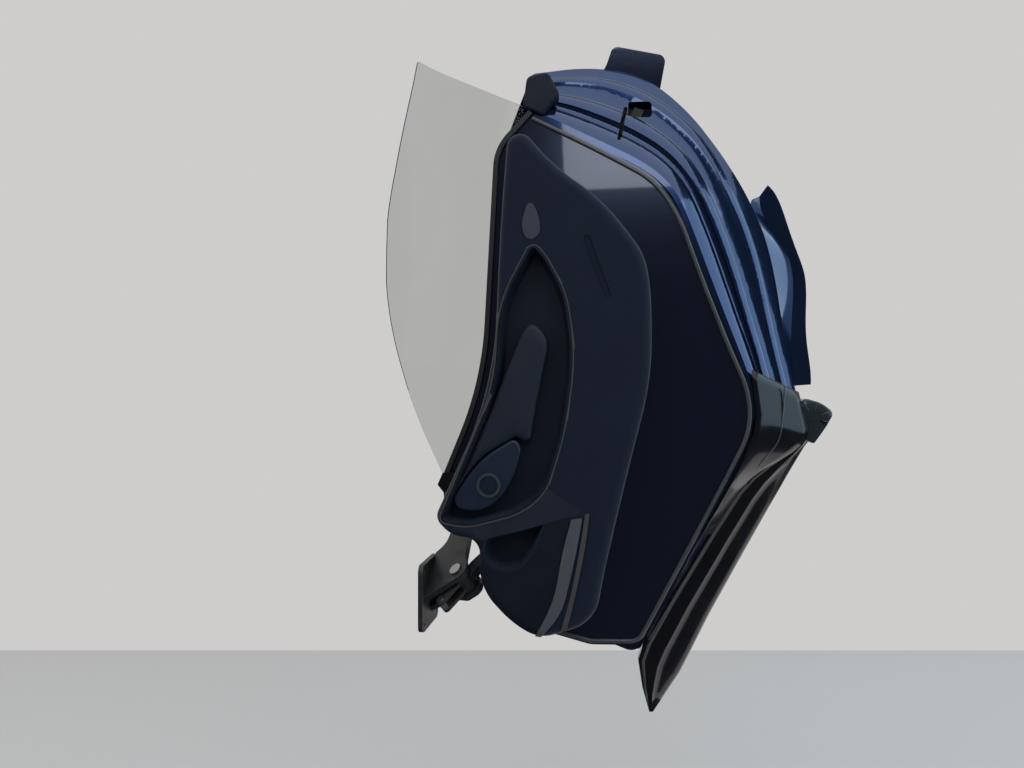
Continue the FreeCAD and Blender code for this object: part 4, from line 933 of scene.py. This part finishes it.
def sill_fin():
    """Rounded fin on the rear end of the sill blade, with crowned faces."""
    loop = evenly(rounded_loop(FIN_OUTLINE, FIN_ARC_STEP), FIN_STEP)
    middle = sum(loop, Vector((0.0, 0.0))) / len(loop)
    crown = [middle.lerp(point, FIN_CROWN_SHARE) for point in loop]
    rows = [(FIN_ROWS[0][1] - FIN_CROWN, crown)]
    rows += [(x, inset_loop(loop, inset)) for inset, x in FIN_ROWS]
    rows += [(FIN_ROWS[-1][1] + FIN_CROWN, crown)]
    mesh = lofted("sill_fin", [[raised(x, point.x, point.y) for point in row] for x, row in rows])
    fin = new_piece("sill_fin", mesh, FINISHES["fin_grey"])
    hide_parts("sill_end_cap")


def jamb_corner():
    """Black cover that carries the jamb round its lower corner, from the seal to the skin."""
    shares = [k / CORNER_PARTS for k in range(CORNER_PARTS + 1)]
    rows = []
    for y, inner, outer in CORNER_STATIONS:
        face = [
            (CORNER_SEAL_X + (CORNER_SKIN_X - CORNER_SEAL_X) * share,
             inner + (outer - inner) * share)
            for share in shares]
        front = [raised(x, y, z) for x, z in face]
        back = [raised(x + CORNER_THICKNESS, y, z) for x, z in face[::-1]]
        rows.append(front + back)
    mesh = lofted("jamb_corner", rows)
    new_piece("jamb_corner", mesh, FINISHES["black_trim"])


def jamb_ridge():
    """Fine ridge that runs down the jamb, round its corner and along the blade; its grey bead
    colour partly paints the highlight line along it.
    """
    line = smooth_line([Vector(point) for point in RIDGE_LINE], RIDGE_STEPS, False)
    mesh = beaded("jamb_ridge", line, RIDGE_RADIUS, False)
    new_piece("jamb_ridge", mesh, FINISHES["seal_bead_painted_highlight"])


# Camera, lamps and stage


def photo_camera():
    """Level camera at the photograph's place."""
    lens = bpy.data.cameras.new("photo_camera")
    lens.sensor_width = CAMERA_SENSOR
    lens.lens = CAMERA_LENS
    camera = bpy.data.objects.new("photo_camera", lens)
    camera.location = CAMERA_PLACE
    camera.rotation_euler = (math.radians(90.0), 0.0, math.radians(CAMERA_TURN))
    bpy.context.scene.collection.objects.link(camera)
    bpy.context.scene.camera = camera


def soft_lamp(name, place, aim, size, power, colour, hidden):
    """Flat soft lamp aimed at a point, not seen in the ways that hidden names."""
    lamp = bpy.data.lights.new(name, "AREA")
    lamp.shape = "RECTANGLE"
    lamp.size, lamp.size_y = size
    lamp.energy = power
    lamp.color = colour
    stand = bpy.data.objects.new(name, lamp)
    stand.location = place
    stand.rotation_euler = (Vector(aim) - Vector(place)).to_track_quat("-Z", "Y").to_euler()
    for way in hidden:
        setattr(stand, way, False)
    bpy.context.scene.collection.objects.link(stand)


def pale_cover(name, colour, glowing, one_sided):
    """Matt pale finish, a share of it glowing to the camera, in gloss and through glass.

    A one-sided cover isn't seen from behind.
    """
    cover = bpy.data.materials.new(name)
    cover.use_nodes = True
    tree = cover.node_tree
    surface = tree.nodes["Principled BSDF"]
    surface.inputs["Base Color"].default_value = (*colour, 1.0)
    surface.inputs["Roughness"].default_value = PALE_ROUGHNESS
    ray = add(tree, "LightPath").outputs
    seen = larger(tree, ray["Is Camera Ray"], ray["Is Glossy Ray"])
    seen = larger(tree, seen, ray["Is Transmission Ray"])
    glow = add(tree, "Emission", {"Color": (*colour, 1.0), "Strength": 1.0}).outputs[0]
    mixed = mixture(tree, product(tree, seen, glowing), surface.outputs[0], glow)
    if one_sided:
        behind = add(tree, "NewGeometry").outputs["Backfacing"]
        mixed = mixture(tree, behind, mixed, add(tree, "BsdfTransparent").outputs[0])
    tree.links.new(mixed, tree.nodes["Material Output"].inputs["Surface"])
    return cover


def studio_air():
    """Dim air that looks like the wall to the camera and through glass."""
    world = bpy.data.worlds.new("studio_air")
    bpy.context.scene.world = world
    world.use_nodes = True
    tree = world.node_tree
    air = tree.nodes["Background"]
    air.inputs["Color"].default_value = (*AIR_TONE, 1.0)
    air.inputs["Strength"].default_value = AIR_STRENGTH
    ray = add(tree, "LightPath").outputs
    seen = larger(tree, ray["Is Camera Ray"], ray["Is Transmission Ray"])
    backdrop = add(tree, "Background", {"Color": (*WALL_TONE, 1.0), "Strength": 1.0}).outputs[0]
    mixed = mixture(tree, seen, air.outputs[0], backdrop)
    tree.links.new(mixed, tree.nodes["World Output"].inputs["Surface"])


def pale_sheet(name, place, size, tilt, cover):
    """Flat square of the stage, turned as the camera is and tilted up from level."""
    rotation = (math.radians(tilt), 0.0, math.radians(CAMERA_TURN))
    bpy.ops.mesh.primitive_plane_add(size=size, location=place, rotation=rotation)
    sheet = bpy.context.object
    sheet.name = name
    sheet.data.materials.append(cover)
    return sheet


def studio():
    """Pale floor and wall, dim air and broad soft lamps."""
    bpy.context.scene.view_settings.view_transform = "Standard"
    studio_air()
    for name, row in LAMPS.items():
        soft_lamp(name, *row)
    floor_cover = pale_cover("pale_floor", FLOOR_TONE, FLOOR_GLOW, one_sided=False)
    floor = pale_sheet("pale_floor", (0.0, 0.0, FLOOR_LEVEL), FLOOR_SIZE, 0.0, floor_cover)
    floor.visible_glossy = False
    turn = math.radians(CAMERA_TURN)
    foot = Vector(CAMERA_PLACE) + Vector((-math.sin(turn), math.cos(turn), 0.0)) * WALL_DISTANCE
    wall_place = (foot.x, foot.y, FLOOR_LEVEL + WALL_SIZE / 2)
    wall_cover = pale_cover("pale_wall", WALL_TONE, WALL_GLOW, one_sided=True)
    pale_sheet("pale_wall", wall_place, WALL_SIZE, 90.0, wall_cover)


dress_nodes()
armrest_cushion()
recess_stitching()
rim_piping()
grille_mesh()
sill_moulding()
sill_fin()
jamb_corner()
jamb_ridge()
photo_camera()
studio()
